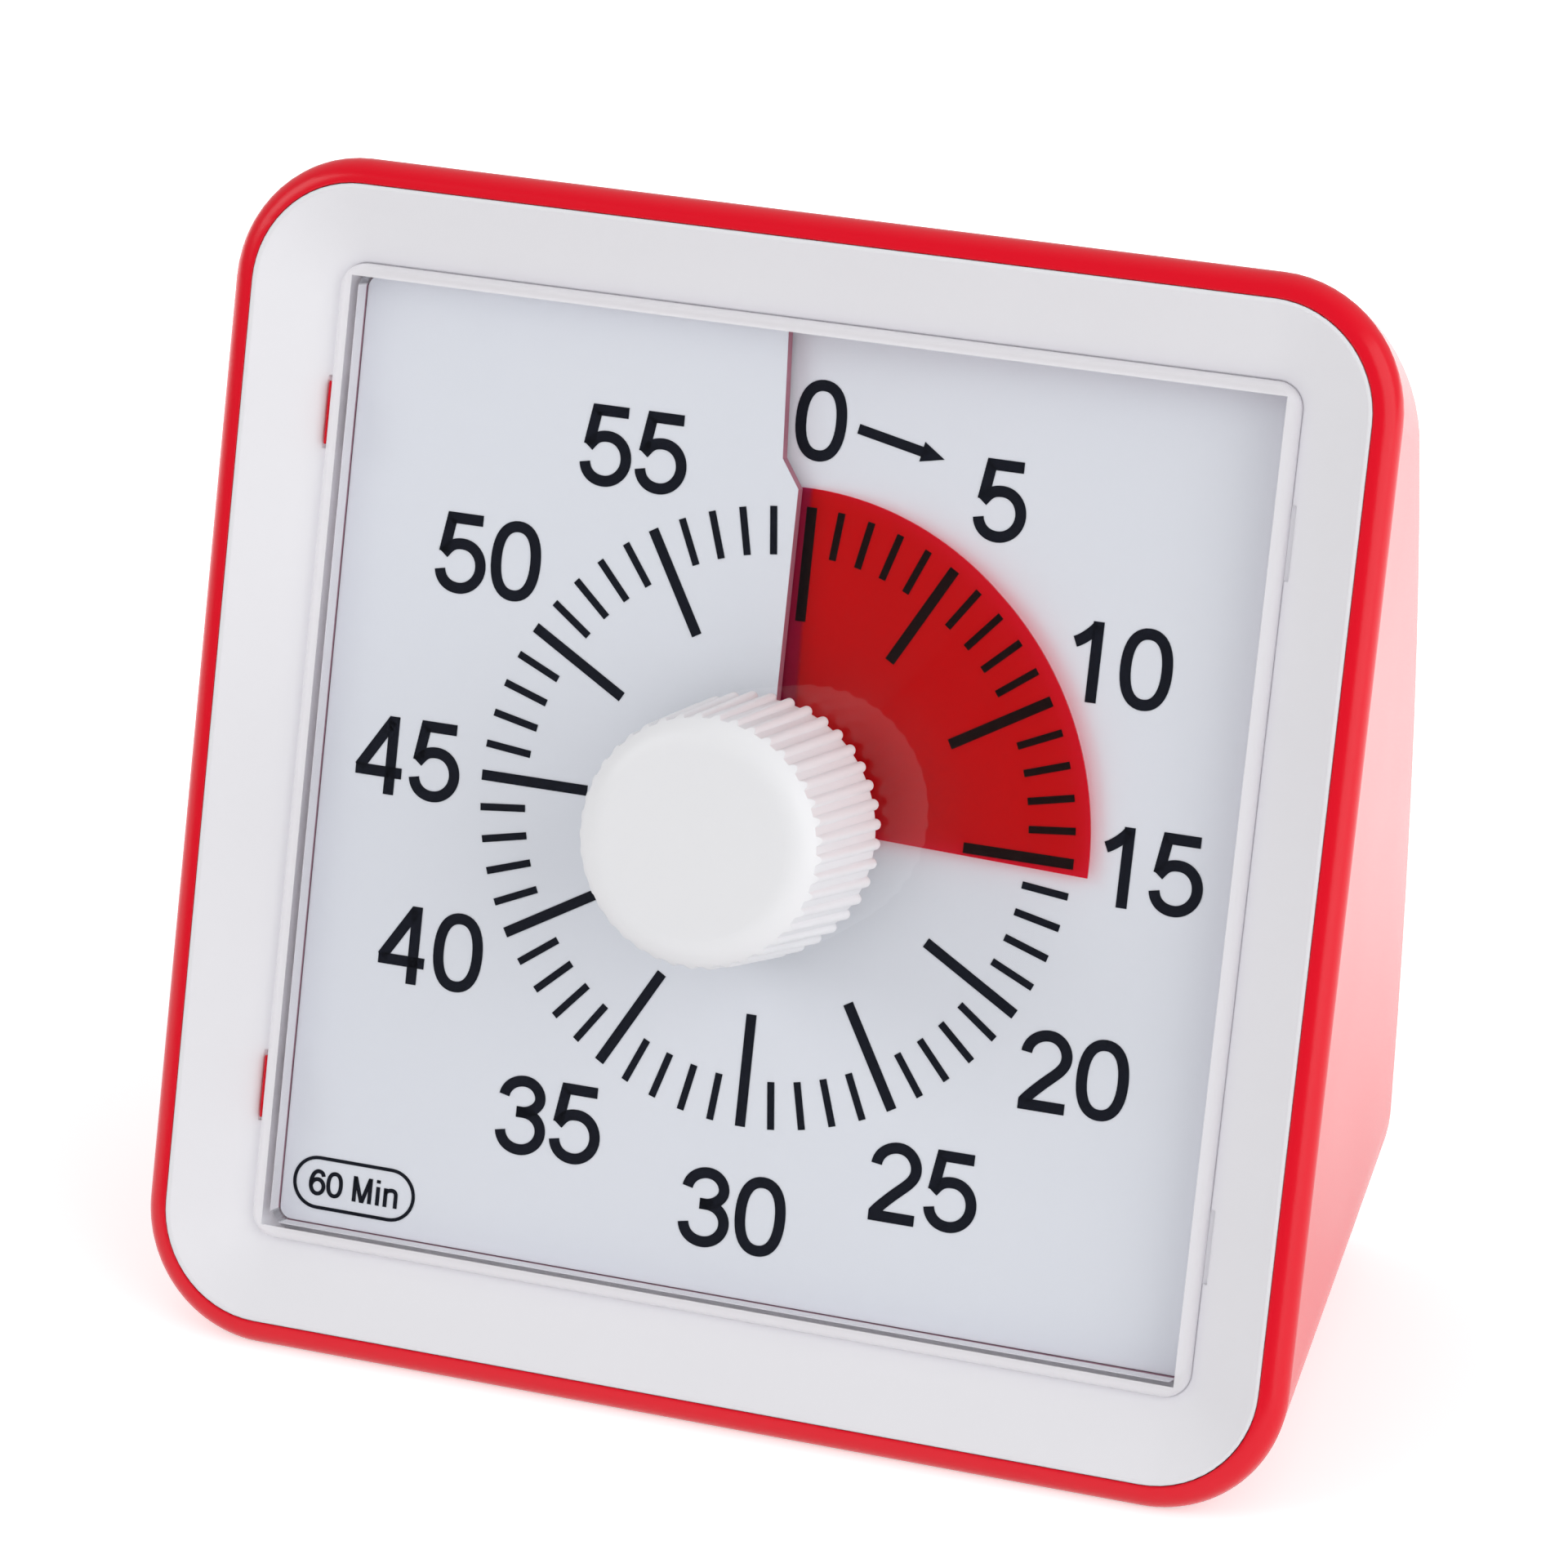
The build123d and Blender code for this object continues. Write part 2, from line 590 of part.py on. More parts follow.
def slit_tongue():
    """Lip of the low side under the high side, a film's room below it."""
    left = [(x - SLIT_LAP, y) for x, y in slit_route()]
    right = [(x + SLIT_WIDTH, y) for x, y in reversed(slit_route())]
    outline = make_face(Polyline(*left, *right, close=True))
    return slab(outline, -PLATE_DROP - SLIT_LAP_THICK, -PLATE_DROP)


def right_of_slit():
    """Everything on the slit's low side, above the dial's axis."""
    reach = PLATE_SIZE
    outline = make_face(Polyline(*slit_route(), (reach, 0), (reach, reach), close=True))
    return slab(outline, -reach, reach)


def dial_plate():
    """White plate with its spiral ramp, slit and four studs."""
    inner, reach = PLATE_HOLE_RADIUS / 2, PLATE_SIZE
    low_side = right_of_slit()
    ramp = spiral_band(0, RAMP_ANGLE, inner, reach, plate_level, PLATE_THICK)
    low_strip = spiral_band(-BAND_STEP, 0, inner, reach, plate_level, PLATE_THICK) & low_side
    high = spiral_band(RAMP_ANGLE, 360, inner, reach, lambda angle: 0.0, PLATE_THICK) - low_side
    body = ramp + low_strip + high - slit_cut() + slit_tongue()
    for x, y in post_places():
        under = plate_level(stud_angle(x, y)) - PLATE_THICK / 2
        body += disc(STUD_RADIUS, CHASSIS_FRONT, under, x, y)
    body = body & slab(rounded_square(PLATE_SIZE, PLATE_CORNER), -reach, reach)
    body = body & rear_face(WALL + SHELL_CLEAR)
    body -= disc(PLATE_HOLE_RADIUS, -reach, reach)
    for x, y in post_places():
        body += disc(STUD_RADIUS, CHASSIS_FRONT, STUD_SHOULDER, x, y)
        body += disc(SPIGOT_RADIUS, CHASSIS_BACK, STUD_SHOULDER, x, y)
        body -= disc(SCREW_RADIUS + PRESS_GAP, CHASSIS_BACK - 1, SCREW_TIP + PRESS_GAP, x, y)
    return body


def stud_angle(x, y):
    """Angle of a point, clockwise from 12 o'clock."""
    return degrees(atan2(x, y)) % 360


def film_level(clock_angle):
    """Level of the film's face: over the plate after the slit, under it before."""
    if clock_angle >= 0:
        share = min(1.0, clock_angle / FILM_RISE_ANGLE)
        return FILM_SLIT_LEVEL + share * (FILM_TOP_LEVEL - FILM_SLIT_LEVEL)
    hidden = 360 - REST_ANGLE
    share = max(0.0, (-clock_angle - FILM_FALL_ANGLE) / (hidden - FILM_FALL_ANGLE))
    return FILM_SLIT_LEVEL + share * (FILM_LOW_LEVEL - FILM_SLIT_LEVEL)


def red_film():
    """Thin film disc, cut along one radius and wound through the plate's slit."""
    start = REST_ANGLE - 360
    return spiral_band(start, REST_ANGLE, HUB_RADIUS + HUB_GAP, FILM_RADIUS, film_level, FILM_THICK)


def film_hub():
    """Hub on the shaft with a flange under the film."""
    body = disc(HUB_RADIUS, HUB_FLANGE_TOP - HUB_FLANGE_THICK, HUB_TOP)
    body += disc(HUB_FLANGE_RADIUS, HUB_FLANGE_TOP - HUB_FLANGE_THICK, HUB_FLANGE_TOP)
    return body - disc(SHAFT_RADIUS + PRESS_GAP, -HALF, HALF)


# ---- knob and shaft ----
def knob_outline(tip, proud):
    """Round outline with round ribs that stand proud by a given height."""
    outline = Circle(tip - proud)
    for rib in PolarLocations(tip - RIB_RADIUS, KNOB_RIBS):
        outline += rib * Circle(RIB_RADIUS)
    return outline


def timer_knob():
    """Hollow knob with ribs that fade towards its rounded front, and a boss for the shaft."""
    base = knob_outline(KNOB_TIP_RADIUS, RIB_RADIUS)
    top = knob_outline(KNOB_TIP_RADIUS * KNOB_TOP_SCALE, RIB_RADIUS * RIB_FADE)
    body = loft([Pos(0, 0, KNOB_BASE) * base, Pos(0, 0, KNOB_TOP) * top], ruled=True)
    margin = RIB_RADIUS / 4
    top_radius = KNOB_TIP_RADIUS * KNOB_TOP_SCALE + margin
    envelope = Cone(KNOB_TIP_RADIUS + margin, top_radius, KNOB_TOP - KNOB_BASE)
    envelope = fillet(envelope.edges().sort_by(Axis.Z)[-1], KNOB_EDGE_ROUND)
    body = body & Pos(0, 0, (KNOB_BASE + KNOB_TOP) / 2) * envelope
    root = KNOB_TIP_RADIUS - RIB_RADIUS
    ceiling = KNOB_TOP - KNOB_WALL
    hollow = Cone(root - KNOB_WALL, root * KNOB_TOP_SCALE - KNOB_WALL, ceiling - KNOB_BASE)
    body -= Pos(0, 0, (KNOB_BASE + ceiling) / 2) * hollow
    body += disc(BOSS_RADIUS, HUB_TOP, KNOB_TOP - KNOB_WALL / 2)
    return body - disc(SHAFT_RADIUS + PRESS_GAP, HUB_TOP - 1, SHAFT_FRONT + PRESS_GAP)


def revolved(profile):
    """Solid of revolution about the dial's axis from (radius, level) corners."""
    outline = make_face(Plane.XZ * Polyline(*profile, close=True))
    return revolve(outline, Axis.Z)


def knob_shaft():
    """Steel shaft with its shoulder, pressed into the knob and turning in the bush."""
    tip = SHAFT_RADIUS - SHAFT_CHAMFER
    shoulder_front = CHASSIS_BACK - LAYER_GAP
    profile = [(0, SHAFT_FRONT), (tip, SHAFT_FRONT), (SHAFT_RADIUS, SHAFT_FRONT - SHAFT_CHAMFER)]
    profile += [(SHAFT_RADIUS, shoulder_front), (SHAFT_SHOULDER, shoulder_front)]
    profile += [(SHAFT_SHOULDER, MAIN_FRONT), (SHAFT_RADIUS, MAIN_FRONT)]
    profile += [(SHAFT_RADIUS, SHAFT_TAIL + SHAFT_CHAMFER), (tip, SHAFT_TAIL), (0, SHAFT_TAIL)]
    return revolved(profile)


# ---- movement ----
def tooth_outline(teeth, module, first, steps):
    """Gear outline with involute flanks, its first tooth centred on angle first."""
    pitch_radius = module * teeth / 2
    pressure = radians(PRESSURE_ANGLE)
    base_radius = pitch_radius * cos(pressure)
    tip_radius = pitch_radius + ADDENDUM * module
    root_radius = pitch_radius - DEDENDUM * module
    foot_radius = max(base_radius, root_radius)
    pitch_half = pi / (2 * teeth) - TOOTH_SLACK / (2 * pitch_radius)

    def half_angle(radius):
        flank = acos(min(1.0, base_radius / max(radius, base_radius)))
        return pitch_half - (tan(flank) - flank) + (tan(pressure) - pressure)

    flank_radii = [foot_radius + (tip_radius - foot_radius) * k / steps for k in range(1, steps + 1)]
    side = [(root_radius, half_angle(foot_radius))]
    side += [(radius, half_angle(radius)) for radius in flank_radii]
    points = []
    for tooth in range(teeth):
        middle = radians(first) + 2 * pi * tooth / teeth
        for radius, half in side:
            points.append((radius * cos(middle - half), radius * sin(middle - half)))
        for radius, half in reversed(side):
            points.append((radius * cos(middle + half), radius * sin(middle + half)))
    return make_face(Polyline(*points, close=True))


def main_wheel():
    """Large wheel that runs one turn an hour, gripped by the clutch."""
    body = slab(tooth_outline(MAIN_TEETH, MAIN_MODULE, GEAR_DIRECTION, 1), MAIN_BACK, MAIN_FRONT)
    ring = (CLUTCH_RADIUS + MAIN_MODULE * MAIN_TEETH / 2) / 2
    for spot in PolarLocations(ring, SPOKES):
        body -= spot * disc(WHEEL_HOLE_RADIUS, MAIN_BACK - 1, MAIN_FRONT + 1)
    return body - disc(SHAFT_RADIUS + RUNNING_GAP, MAIN_BACK - 1, MAIN_FRONT + 1)


def intermediate_gear():
    """Wheel and pinion in one, turning on its arbor."""
    pinion_first = GEAR_DIRECTION + 180 + 180 / PINION_TEETH
    pinion = tooth_outline(PINION_TEETH, MAIN_MODULE, pinion_first, 3)
    wheel = tooth_outline(WHEEL_TEETH, MOTOR_MODULE, MOTOR_DIRECTION, 1)
    wheel_back = GEAR_WHEEL_FRONT - WHEEL_THICK
    body = slab(pinion, GEAR_WHEEL_FRONT, MAIN_FRONT + LAYER_GAP)
    body += slab(wheel, wheel_back, GEAR_WHEEL_FRONT)
    body += disc(PIN_RADIUS + HUB_WALL, CASE_FLOOR + LAYER_GAP, wheel_back)
    body += disc(PIN_RADIUS + HUB_WALL, GEAR_WHEEL_FRONT, CHASSIS_BACK - LAYER_GAP)
    body -= disc(PIN_RADIUS + RUNNING_GAP, -HALF, HALF)
    return Pos(GEAR_X, GEAR_Y, 0) * body


def intermediate_pin():
    """Steel arbor between the chassis and the case."""
    return disc(PIN_RADIUS, CASE_FLOOR - CASE_WALL / 2, CHASSIS_BACK + CHASSIS_THICK / 2, GEAR_X, GEAR_Y)


def motor_pinion():
    """Output pinion of the motor on its thin shaft."""
    first = MOTOR_DIRECTION + 180 + 180 / MOTOR_TEETH
    outline = tooth_outline(MOTOR_TEETH, MOTOR_MODULE, first, 3)
    wheel_back = GEAR_WHEEL_FRONT - WHEEL_THICK
    body = slab(outline, wheel_back - LAYER_GAP, GEAR_WHEEL_FRONT + LAYER_GAP)
    body += disc(MOTOR_SHAFT_RADIUS, MOTOR_TOP - MOTOR_SHAFT_DEPTH, wheel_back)
    return Pos(MOTOR_X, MOTOR_Y, 0) * body


def motor_unit():
    """Sealed quartz motor on the floor of the case."""
    outline = RectangleRounded(MOTOR_WIDTH, MOTOR_LENGTH, MOTOR_CORNER)
    body = slab(outline, CASE_FLOOR, MOTOR_TOP)
    hole = MOTOR_SHAFT_RADIUS + RUNNING_GAP
    body -= disc(hole, MOTOR_TOP - MOTOR_SHAFT_DEPTH - LAYER_GAP, MOTOR_TOP + 1)
    return Pos(MOTOR_X, MOTOR_Y, 0) * body


def motor_coil():
    """Winding on its bobbin, along the motor's lower side."""
    half = COIL_LENGTH / 2
    body = Cylinder(COIL_RADIUS, COIL_LENGTH - 2 * COIL_FLANGE)
    for end in (-1, 1):
        body += Pos(0, 0, end * (half - COIL_FLANGE / 2)) * Cylinder(COIL_FLANGE_RADIUS, COIL_FLANGE)
    y = MOTOR_Y - MOTOR_LENGTH / 2 - COIL_FLANGE_RADIUS
    return Pos(MOTOR_X - half / 2, y, CASE_FLOOR + COIL_FLANGE_RADIUS) * Rot(0, 90, 0) * body


def clutch_spring():
    """Dished spring washer behind the main wheel."""
    bore, edge = SHAFT_RADIUS + RUNNING_GAP, CLUTCH_RADIUS
    front, back = MAIN_BACK - RUNNING_GAP, CLUTCH_BACK
    profile = [(bore, back), (bore, back + CLUTCH_SHEET), (edge, front), (edge, front - CLUTCH_SHEET)]
    return revolved(profile)


def clutch_collar():
    """Collar pressed on the shaft behind the spring."""
    return disc(COLLAR_RADIUS, COLLAR_BACK, CLUTCH_BACK) - disc(SHAFT_RADIUS + PRESS_GAP, -HALF, HALF)


def alarm_cam():
    """Round cam with one notch, which meets the leaf when the time has run out."""
    body = disc(CAM_RADIUS, CAM_FRONT - CAM_THICK, CAM_FRONT)
    notch = Pos(CAM_RADIUS, 0, CAM_FRONT - CAM_THICK / 2) * Box(2 * CAM_NOTCH, 2 * CAM_NOTCH, 2 * CAM_THICK)
    body -= Rot(0, 0, -REST_ANGLE) * notch
    return body - disc(SHAFT_RADIUS + PRESS_GAP, -HALF, HALF)


def board_left():
    """Left edge of the circuit board."""
    return CASE_RIGHT - CASE_WALL - BOARD_GAP - BOARD_WIDTH


def contact_leaf():
    """Bent leaf on the board, its tip beside the cam."""
    x = CAM_RADIUS + LEAF_GAP
    half = LEAF_WIDTH / 2
    foot = block(x, board_left() + LEAF_FOOT, -half, half, BOARD_FRONT, BOARD_FRONT + LEAF_SHEET)
    return foot + block(x, x + LEAF_SHEET, -half, half, BOARD_FRONT, CAM_FRONT - LAYER_GAP)


def circuit_board():
    """Board with the drop of resin over its chip."""
    left, back = board_left(), BOARD_FRONT - BOARD_THICK
    low = BOARD_Y - BOARD_LENGTH / 2
    body = block(left, left + BOARD_WIDTH, low, low + BOARD_LENGTH, back, BOARD_FRONT)
    drop = Pos(left + BOARD_WIDTH / 2, low + BOARD_LENGTH / 4, BOARD_FRONT)
    return body + drop * Cone(CHIP_RADIUS, CHIP_RADIUS / 2, CHIP_RADIUS / 2, align=STANDING)


def quartz_crystal():
    """Crystal can lying on the board."""
    y = BOARD_Y + BOARD_LENGTH / 4
    x = board_left() + BOARD_WIDTH / 2
    return Pos(x, y, BOARD_FRONT + CRYSTAL_RADIUS) * Rot(90, 0, 0) * Cylinder(CRYSTAL_RADIUS, CRYSTAL_LENGTH)


def case_outline(inset):
    """Rounded outline of the movement case."""
    width, height = CASE_LEFT + CASE_RIGHT - 2 * inset, CASE_TOP + CASE_BOTTOM - 2 * inset
    centre = Pos((CASE_RIGHT - CASE_LEFT) / 2, (CASE_TOP - CASE_BOTTOM) / 2)
    return centre * RectangleRounded(width, height, CASE_CORNER - inset)


def movement_case():
    """Tray over the wheels, with screw columns, bearings and rests for the board."""
    body = slab(case_outline(0), CASE_BACK, CHASSIS_BACK)
    body -= slab(case_outline(CASE_WALL), CASE_FLOOR, CHASSIS_BACK + 1)
    for x, y in column_places():
        body += disc(COLUMN_RADIUS, CASE_FLOOR - CASE_WALL / 2, CHASSIS_BACK, x, y)
        body -= disc(CASE_SCREW_RADIUS + SPIGOT_GAP, CASE_BACK - 1, CHASSIS_BACK + 1, x, y)
        body -= disc(CASE_SCREW_HEAD + SPIGOT_GAP, CASE_BACK - 1, CASE_BACK + CASE_SCREW_RECESS, x, y)
    boss = disc(2 * SHAFT_RADIUS, CASE_FLOOR - CASE_WALL / 2, SHAFT_TAIL + BEARING_LENGTH)
    body += boss - disc(SHAFT_RADIUS + RUNNING_GAP, SHAFT_TAIL - LAYER_GAP, CHASSIS_BACK)
    body -= disc(PIN_RADIUS + PRESS_GAP, CASE_FLOOR - CASE_WALL / 2 - PRESS_GAP, CHASSIS_BACK, GEAR_X, GEAR_Y)
    left, low = board_left(), BOARD_Y - BOARD_LENGTH / 2
    for y in (low, low + BOARD_LENGTH - CASE_WALL):
        right = left + BOARD_WIDTH
        body += block(left, right, y, y + CASE_WALL, CASE_FLOOR - CASE_WALL / 2, BOARD_FRONT - BOARD_THICK)
    return body


def chassis_middle():
    """Height of the chassis's centre up the face."""
    return (CHASSIS_TOP - CHASSIS_BOTTOM) / 2


def chassis():
    """Plate behind the dial that carries the movement."""
    outline = RectangleRounded(CHASSIS_WIDTH, CHASSIS_TOP + CHASSIS_BOTTOM, CASE_CORNER)
    body = slab(Pos(0, chassis_middle()) * outline, CHASSIS_BACK, CHASSIS_FRONT)
    body -= disc(BUSH_RADIUS + PRESS_GAP, -HALF, HALF)
    for x, y in post_places():
        body -= disc(SPIGOT_RADIUS + SPIGOT_GAP, CHASSIS_BACK - 1, CHASSIS_FRONT + 1, x, y)
    pilot = CASE_SCREW_RADIUS + PRESS_GAP
    for x, y in column_places():
        body -= disc(pilot, CHASSIS_BACK - 1, CHASSIS_FRONT - SCREW_SKIN + PRESS_GAP, x, y)
    pin_front = CHASSIS_BACK + CHASSIS_THICK / 2 + PRESS_GAP
    return body - disc(PIN_RADIUS + PRESS_GAP, CHASSIS_BACK - 1, pin_front, GEAR_X, GEAR_Y)


def chassis_bush():
    """Brass bearing of the shaft, pressed into the chassis."""
    return disc(BUSH_RADIUS, CHASSIS_BACK, CHASSIS_FRONT) - disc(SHAFT_RADIUS + RUNNING_GAP, -HALF, HALF)


def movement_screws():
    """Three screws that hold the case to the chassis."""
    group = []
    for x, y in column_places():
        seat = CASE_BACK + CASE_SCREW_RECESS
        head = disc(CASE_SCREW_HEAD, CASE_BACK, seat, x, y)
        group.append(head + disc(CASE_SCREW_RADIUS, seat, CHASSIS_FRONT - SCREW_SKIN, x, y))
    return Compound(children=group)


def housing_screws():
    """Four screws that draw the housing, chassis and plate together."""
    group = []
    seat = CHASSIS_BACK - POST_FLOOR
    for x, y in post_places():
        head = disc(SCREW_HEAD_RADIUS, seat - SCREW_HEAD_HEIGHT, seat, x, y)
        group.append(head + disc(SCREW_RADIUS, seat, SCREW_TIP, x, y))
    return Compound(children=group)


# ---- rear pieces, in the stand's frame ----
def battery():
    """One AA cell lying across the bay, its nub to the left."""
    half = CELL_LENGTH / 2
    body = Cylinder(CELL_RADIUS, CELL_LENGTH)
    body = fillet(body.edges().filter_by(GeomType.CIRCLE), CELL_ROUND)
    body += Pos(0, 0, -half - CELL_NUB_LENGTH / 2) * Cylinder(CELL_NUB_RADIUS, CELL_NUB_LENGTH)
    return Pos(CELL_NUB_LENGTH / 2, CELL_BACK, CELL_HEIGHT) * Rot(0, 90, 0) * body


def bent_strip(points):
    """Strip of contact sheet bent along (x, z) corners, across the bay."""
    lifted = [(x + CONTACT_SHEET, z) for x, z in reversed(points)]
    outline = make_face(Plane.XZ * Polyline(*points, *lifted, close=True))
    strip = extrude(outline, CONTACT_WIDTH / 2, both=True)
    return Pos(0, CELL_BACK, CELL_HEIGHT) * strip


def battery_plate():
    """Contact for the cell's nub: a flat plate with a raised pad."""
    wall = -BAY_LENGTH / 2
    pad = wall + CONTACT_ROOM - CONTACT_SHEET - PRESS_GAP
    foot, rise = CONTACT_HEIGHT / 2, CELL_NUB_RADIUS
    points = [(wall, foot), (wall, 2 * rise), (pad, rise), (pad, -rise), (wall, -2 * rise), (wall, -foot)]
    return bent_strip(points)


def battery_leaf():
    """Springy contact for the cell's flat end: a bowed leaf."""
    wall = BAY_LENGTH / 2 - CONTACT_SHEET
    tip = BAY_LENGTH / 2 - CONTACT_ROOM + PRESS_GAP
    foot = CONTACT_HEIGHT / 2
    points = [(wall, foot), (wall, 0.7 * foot), (tip, 0), (wall, -0.7 * foot), (wall, -foot)]
    return bent_strip(points)


def battery_door():
    """Cover of the battery bay, following the rear wall, with two catches and grip ribs."""
    low, high = door_span()
    width = BAY_LENGTH + 2 * BAY_WALL
    height = high - low + 2 * BAY_WALL
    panel = door_slab(RectangleRounded(width, height, DOOR_CORNER - DOOR_GAP), 2 * DOOR_THICK)
    grip_x = BAY_LENGTH / 2 - CATCH_WIDTH
    panel = stand(panel) & rear_face(0)
    front = BASE_DEPTH - DOOR_THICK
    for side in (-1, 1):
        x = side * grip_x - CATCH_WIDTH / 2
        top = high - DOOR_GAP
        catch = block(x, x + CATCH_WIDTH, front - CATCH_DEPTH, front, top - CATCH_THICK, top)
        panel += stand(catch)
    for rib in range(GRIP_RIBS):
        z = CELL_HEIGHT + (rib - (GRIP_RIBS - 1) / 2) * GRIP_PITCH
        back = rear_depth(z) + GRIP_PROUD
        ridge = block(-CATCH_WIDTH / 2, CATCH_WIDTH / 2, front, back, z - GRIP_WIDTH / 2, z + GRIP_WIDTH / 2)
        panel += stand(ridge)
    return panel


def buzzer():
    """Round buzzer with its sound hole, seated in the rear wall's ring."""
    seat = buzzer_seat()
    body = bar_back(BUZZER_RADIUS, BUZZER_X, seat - BUZZER_THICK, seat, BUZZER_HEIGHT)
    return body - bar_back(SOUND_HOLE_RADIUS, BUZZER_X, seat - WALL / 2, seat + 1, BUZZER_HEIGHT)


def switch_body():
    """Body of the sound switch, between its rails."""
    back = switch_seat() - SLIDER_FLANGE - 2 * SWITCH_GAP
    front = switch_seat() - SWITCH_BODY_DEPTH - SLIDER_FLANGE
    return switch_block(SWITCH_BODY_LENGTH, SWITCH_BODY_HEIGHT, front, back)


def sound_switch():
    """Slider of the sound switch, its knob standing out of the rear wall."""
    seat = switch_seat()
    flange_length = SWITCH_BODY_LENGTH - SWITCH_TRAVEL - 2 * SWITCH_GAP
    front = seat - SWITCH_GAP
    flange = switch_block(flange_length, SWITCH_BODY_HEIGHT, front - SLIDER_FLANGE, front)
    back = rear_depth(SWITCH_HEIGHT) + SLIDER_PROUD
    slider = flange + switch_block(SLIDER_WIDTH, SLIDER_HEIGHT, front, back)
    return Pos(-SWITCH_TRAVEL / 2, 0, 0) * slider


DIAL_PIECES = [housing, bezel, lens, dial_plate, red_film, film_hub, timer_knob, knob_shaft, main_wheel]
DIAL_PIECES += [intermediate_gear, intermediate_pin, motor_pinion, motor_unit, motor_coil, clutch_spring]
DIAL_PIECES += [clutch_collar, alarm_cam, contact_leaf, circuit_board, quartz_crystal, movement_case]
DIAL_PIECES += [chassis, chassis_bush, movement_screws, housing_screws, battery_door]
STAND_PIECES = [battery, battery_plate, battery_leaf, buzzer, switch_body, sound_switch]


def write_parts():
    """Stand every piece up, centre the whole front to back, and write the files."""
    upright = STAND_IN_DIAL.inverse()
    pieces = {make.__name__: make().moved(upright) for make in DIAL_PIECES}
    pieces.update({make.__name__: make() for make in STAND_PIECES})
    boxes = [piece.bounding_box() for piece in pieces.values()]
    front = min(box.min.Y for box in boxes)
    back = max(box.max.Y for box in boxes)
    centred = Location((0, -(front + back) / 2, 0))
    axis = upright.position
    print("dial axis passes", 0, round(axis.Y - (front + back) / 2, 4), round(axis.Z, 4))
    os.makedirs("parts", exist_ok=True)
    for name, piece in pieces.items():
        export_step(piece.moved(centred), f"parts/{name}.step")


write_parts()
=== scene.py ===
# %% [markdown]
# # A visual countdown timer
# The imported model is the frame: every piece of the casing, the dial, the knob and
# the movement already stands in its place, in metres. Blender adds what is printed,
# what bends and what shines. Loading the frame first means that nothing has to be
# fitted afterwards.

# %% Load the frame
import json
import math
import bpy
from mathutils import Matrix, Vector
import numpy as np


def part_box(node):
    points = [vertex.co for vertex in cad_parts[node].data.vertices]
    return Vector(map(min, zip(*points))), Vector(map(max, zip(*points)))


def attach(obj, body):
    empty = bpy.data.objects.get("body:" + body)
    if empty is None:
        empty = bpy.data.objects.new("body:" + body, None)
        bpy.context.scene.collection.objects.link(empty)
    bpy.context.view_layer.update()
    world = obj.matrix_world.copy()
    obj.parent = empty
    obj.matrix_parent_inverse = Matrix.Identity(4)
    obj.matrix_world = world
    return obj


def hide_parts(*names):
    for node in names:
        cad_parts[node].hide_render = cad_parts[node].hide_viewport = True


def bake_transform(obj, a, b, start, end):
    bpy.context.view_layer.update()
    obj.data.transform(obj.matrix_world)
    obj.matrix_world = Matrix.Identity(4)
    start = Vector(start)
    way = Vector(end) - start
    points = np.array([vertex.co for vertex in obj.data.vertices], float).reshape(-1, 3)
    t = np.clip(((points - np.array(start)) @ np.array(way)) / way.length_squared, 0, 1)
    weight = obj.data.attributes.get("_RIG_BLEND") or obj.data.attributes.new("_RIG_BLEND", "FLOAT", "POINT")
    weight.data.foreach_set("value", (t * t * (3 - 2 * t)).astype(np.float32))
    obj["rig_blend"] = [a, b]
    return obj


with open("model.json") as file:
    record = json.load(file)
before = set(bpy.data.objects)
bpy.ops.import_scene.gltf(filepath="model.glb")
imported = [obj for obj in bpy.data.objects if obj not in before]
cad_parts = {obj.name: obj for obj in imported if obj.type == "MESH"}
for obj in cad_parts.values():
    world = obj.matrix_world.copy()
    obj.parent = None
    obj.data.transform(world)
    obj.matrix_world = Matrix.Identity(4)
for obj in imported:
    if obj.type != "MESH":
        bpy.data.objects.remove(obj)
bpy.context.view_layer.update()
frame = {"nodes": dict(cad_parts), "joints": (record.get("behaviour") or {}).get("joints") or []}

# %% [markdown]
# ## Working by hand, in code
# An operator works on all that is selected, and the loaded pieces come in selected. So
# every step first chooses its own pieces. A few steps come back for each new piece, such
# as opening it with all of it selected, and they are written once.

# %% Choose and edit
MM = 0.001


def clear_selection():
    """Deselect everything."""
    bpy.ops.object.select_all(action="DESELECT")
    bpy.context.view_layer.objects.active = None


def choose(*pieces):
    """Make these pieces the only ones selected, and the first of them active."""
    clear_selection()
    for piece in pieces:
        piece.select_set(True)
    bpy.context.view_layer.objects.active = pieces[0]


def edit_all():
    """Open the active piece in edit mode with all of it selected."""
    bpy.ops.object.mode_set(mode="EDIT")
    bpy.ops.mesh.select_all(action="SELECT")


def extrude(height):
    """In edit mode, extrude what is selected along Z."""
    bpy.ops.mesh.extrude_region_move(TRANSFORM_OT_translate={"value": (0, 0, height)})


def turn_outwards():
    """In edit mode, turn all faces outwards and leave the mode."""
    bpy.ops.mesh.select_all(action="SELECT")
    bpy.ops.mesh.normals_make_consistent(inside=False)
    bpy.ops.object.mode_set(mode="OBJECT")


clear_selection()
print("nodes:", len(frame["nodes"]))

# %% Copy and join
def own_copy(model, place):
    """Copy of a piece with its own mesh, moved to its place by a matrix."""
    copy = model.copy()
    copy.data = model.data.copy()
    bpy.context.scene.collection.objects.link(copy)
    copy.data.transform(place)
    return copy


def gather(pieces, name, material):
    """Join several meshes into one piece of one material."""
    choose(*pieces)
    if len(pieces) > 1:
        bpy.ops.object.join()
    whole = pieces[0]
    whole.name = name
    whole.data.materials.clear()
    whole.data.materials.append(material)
    return whole


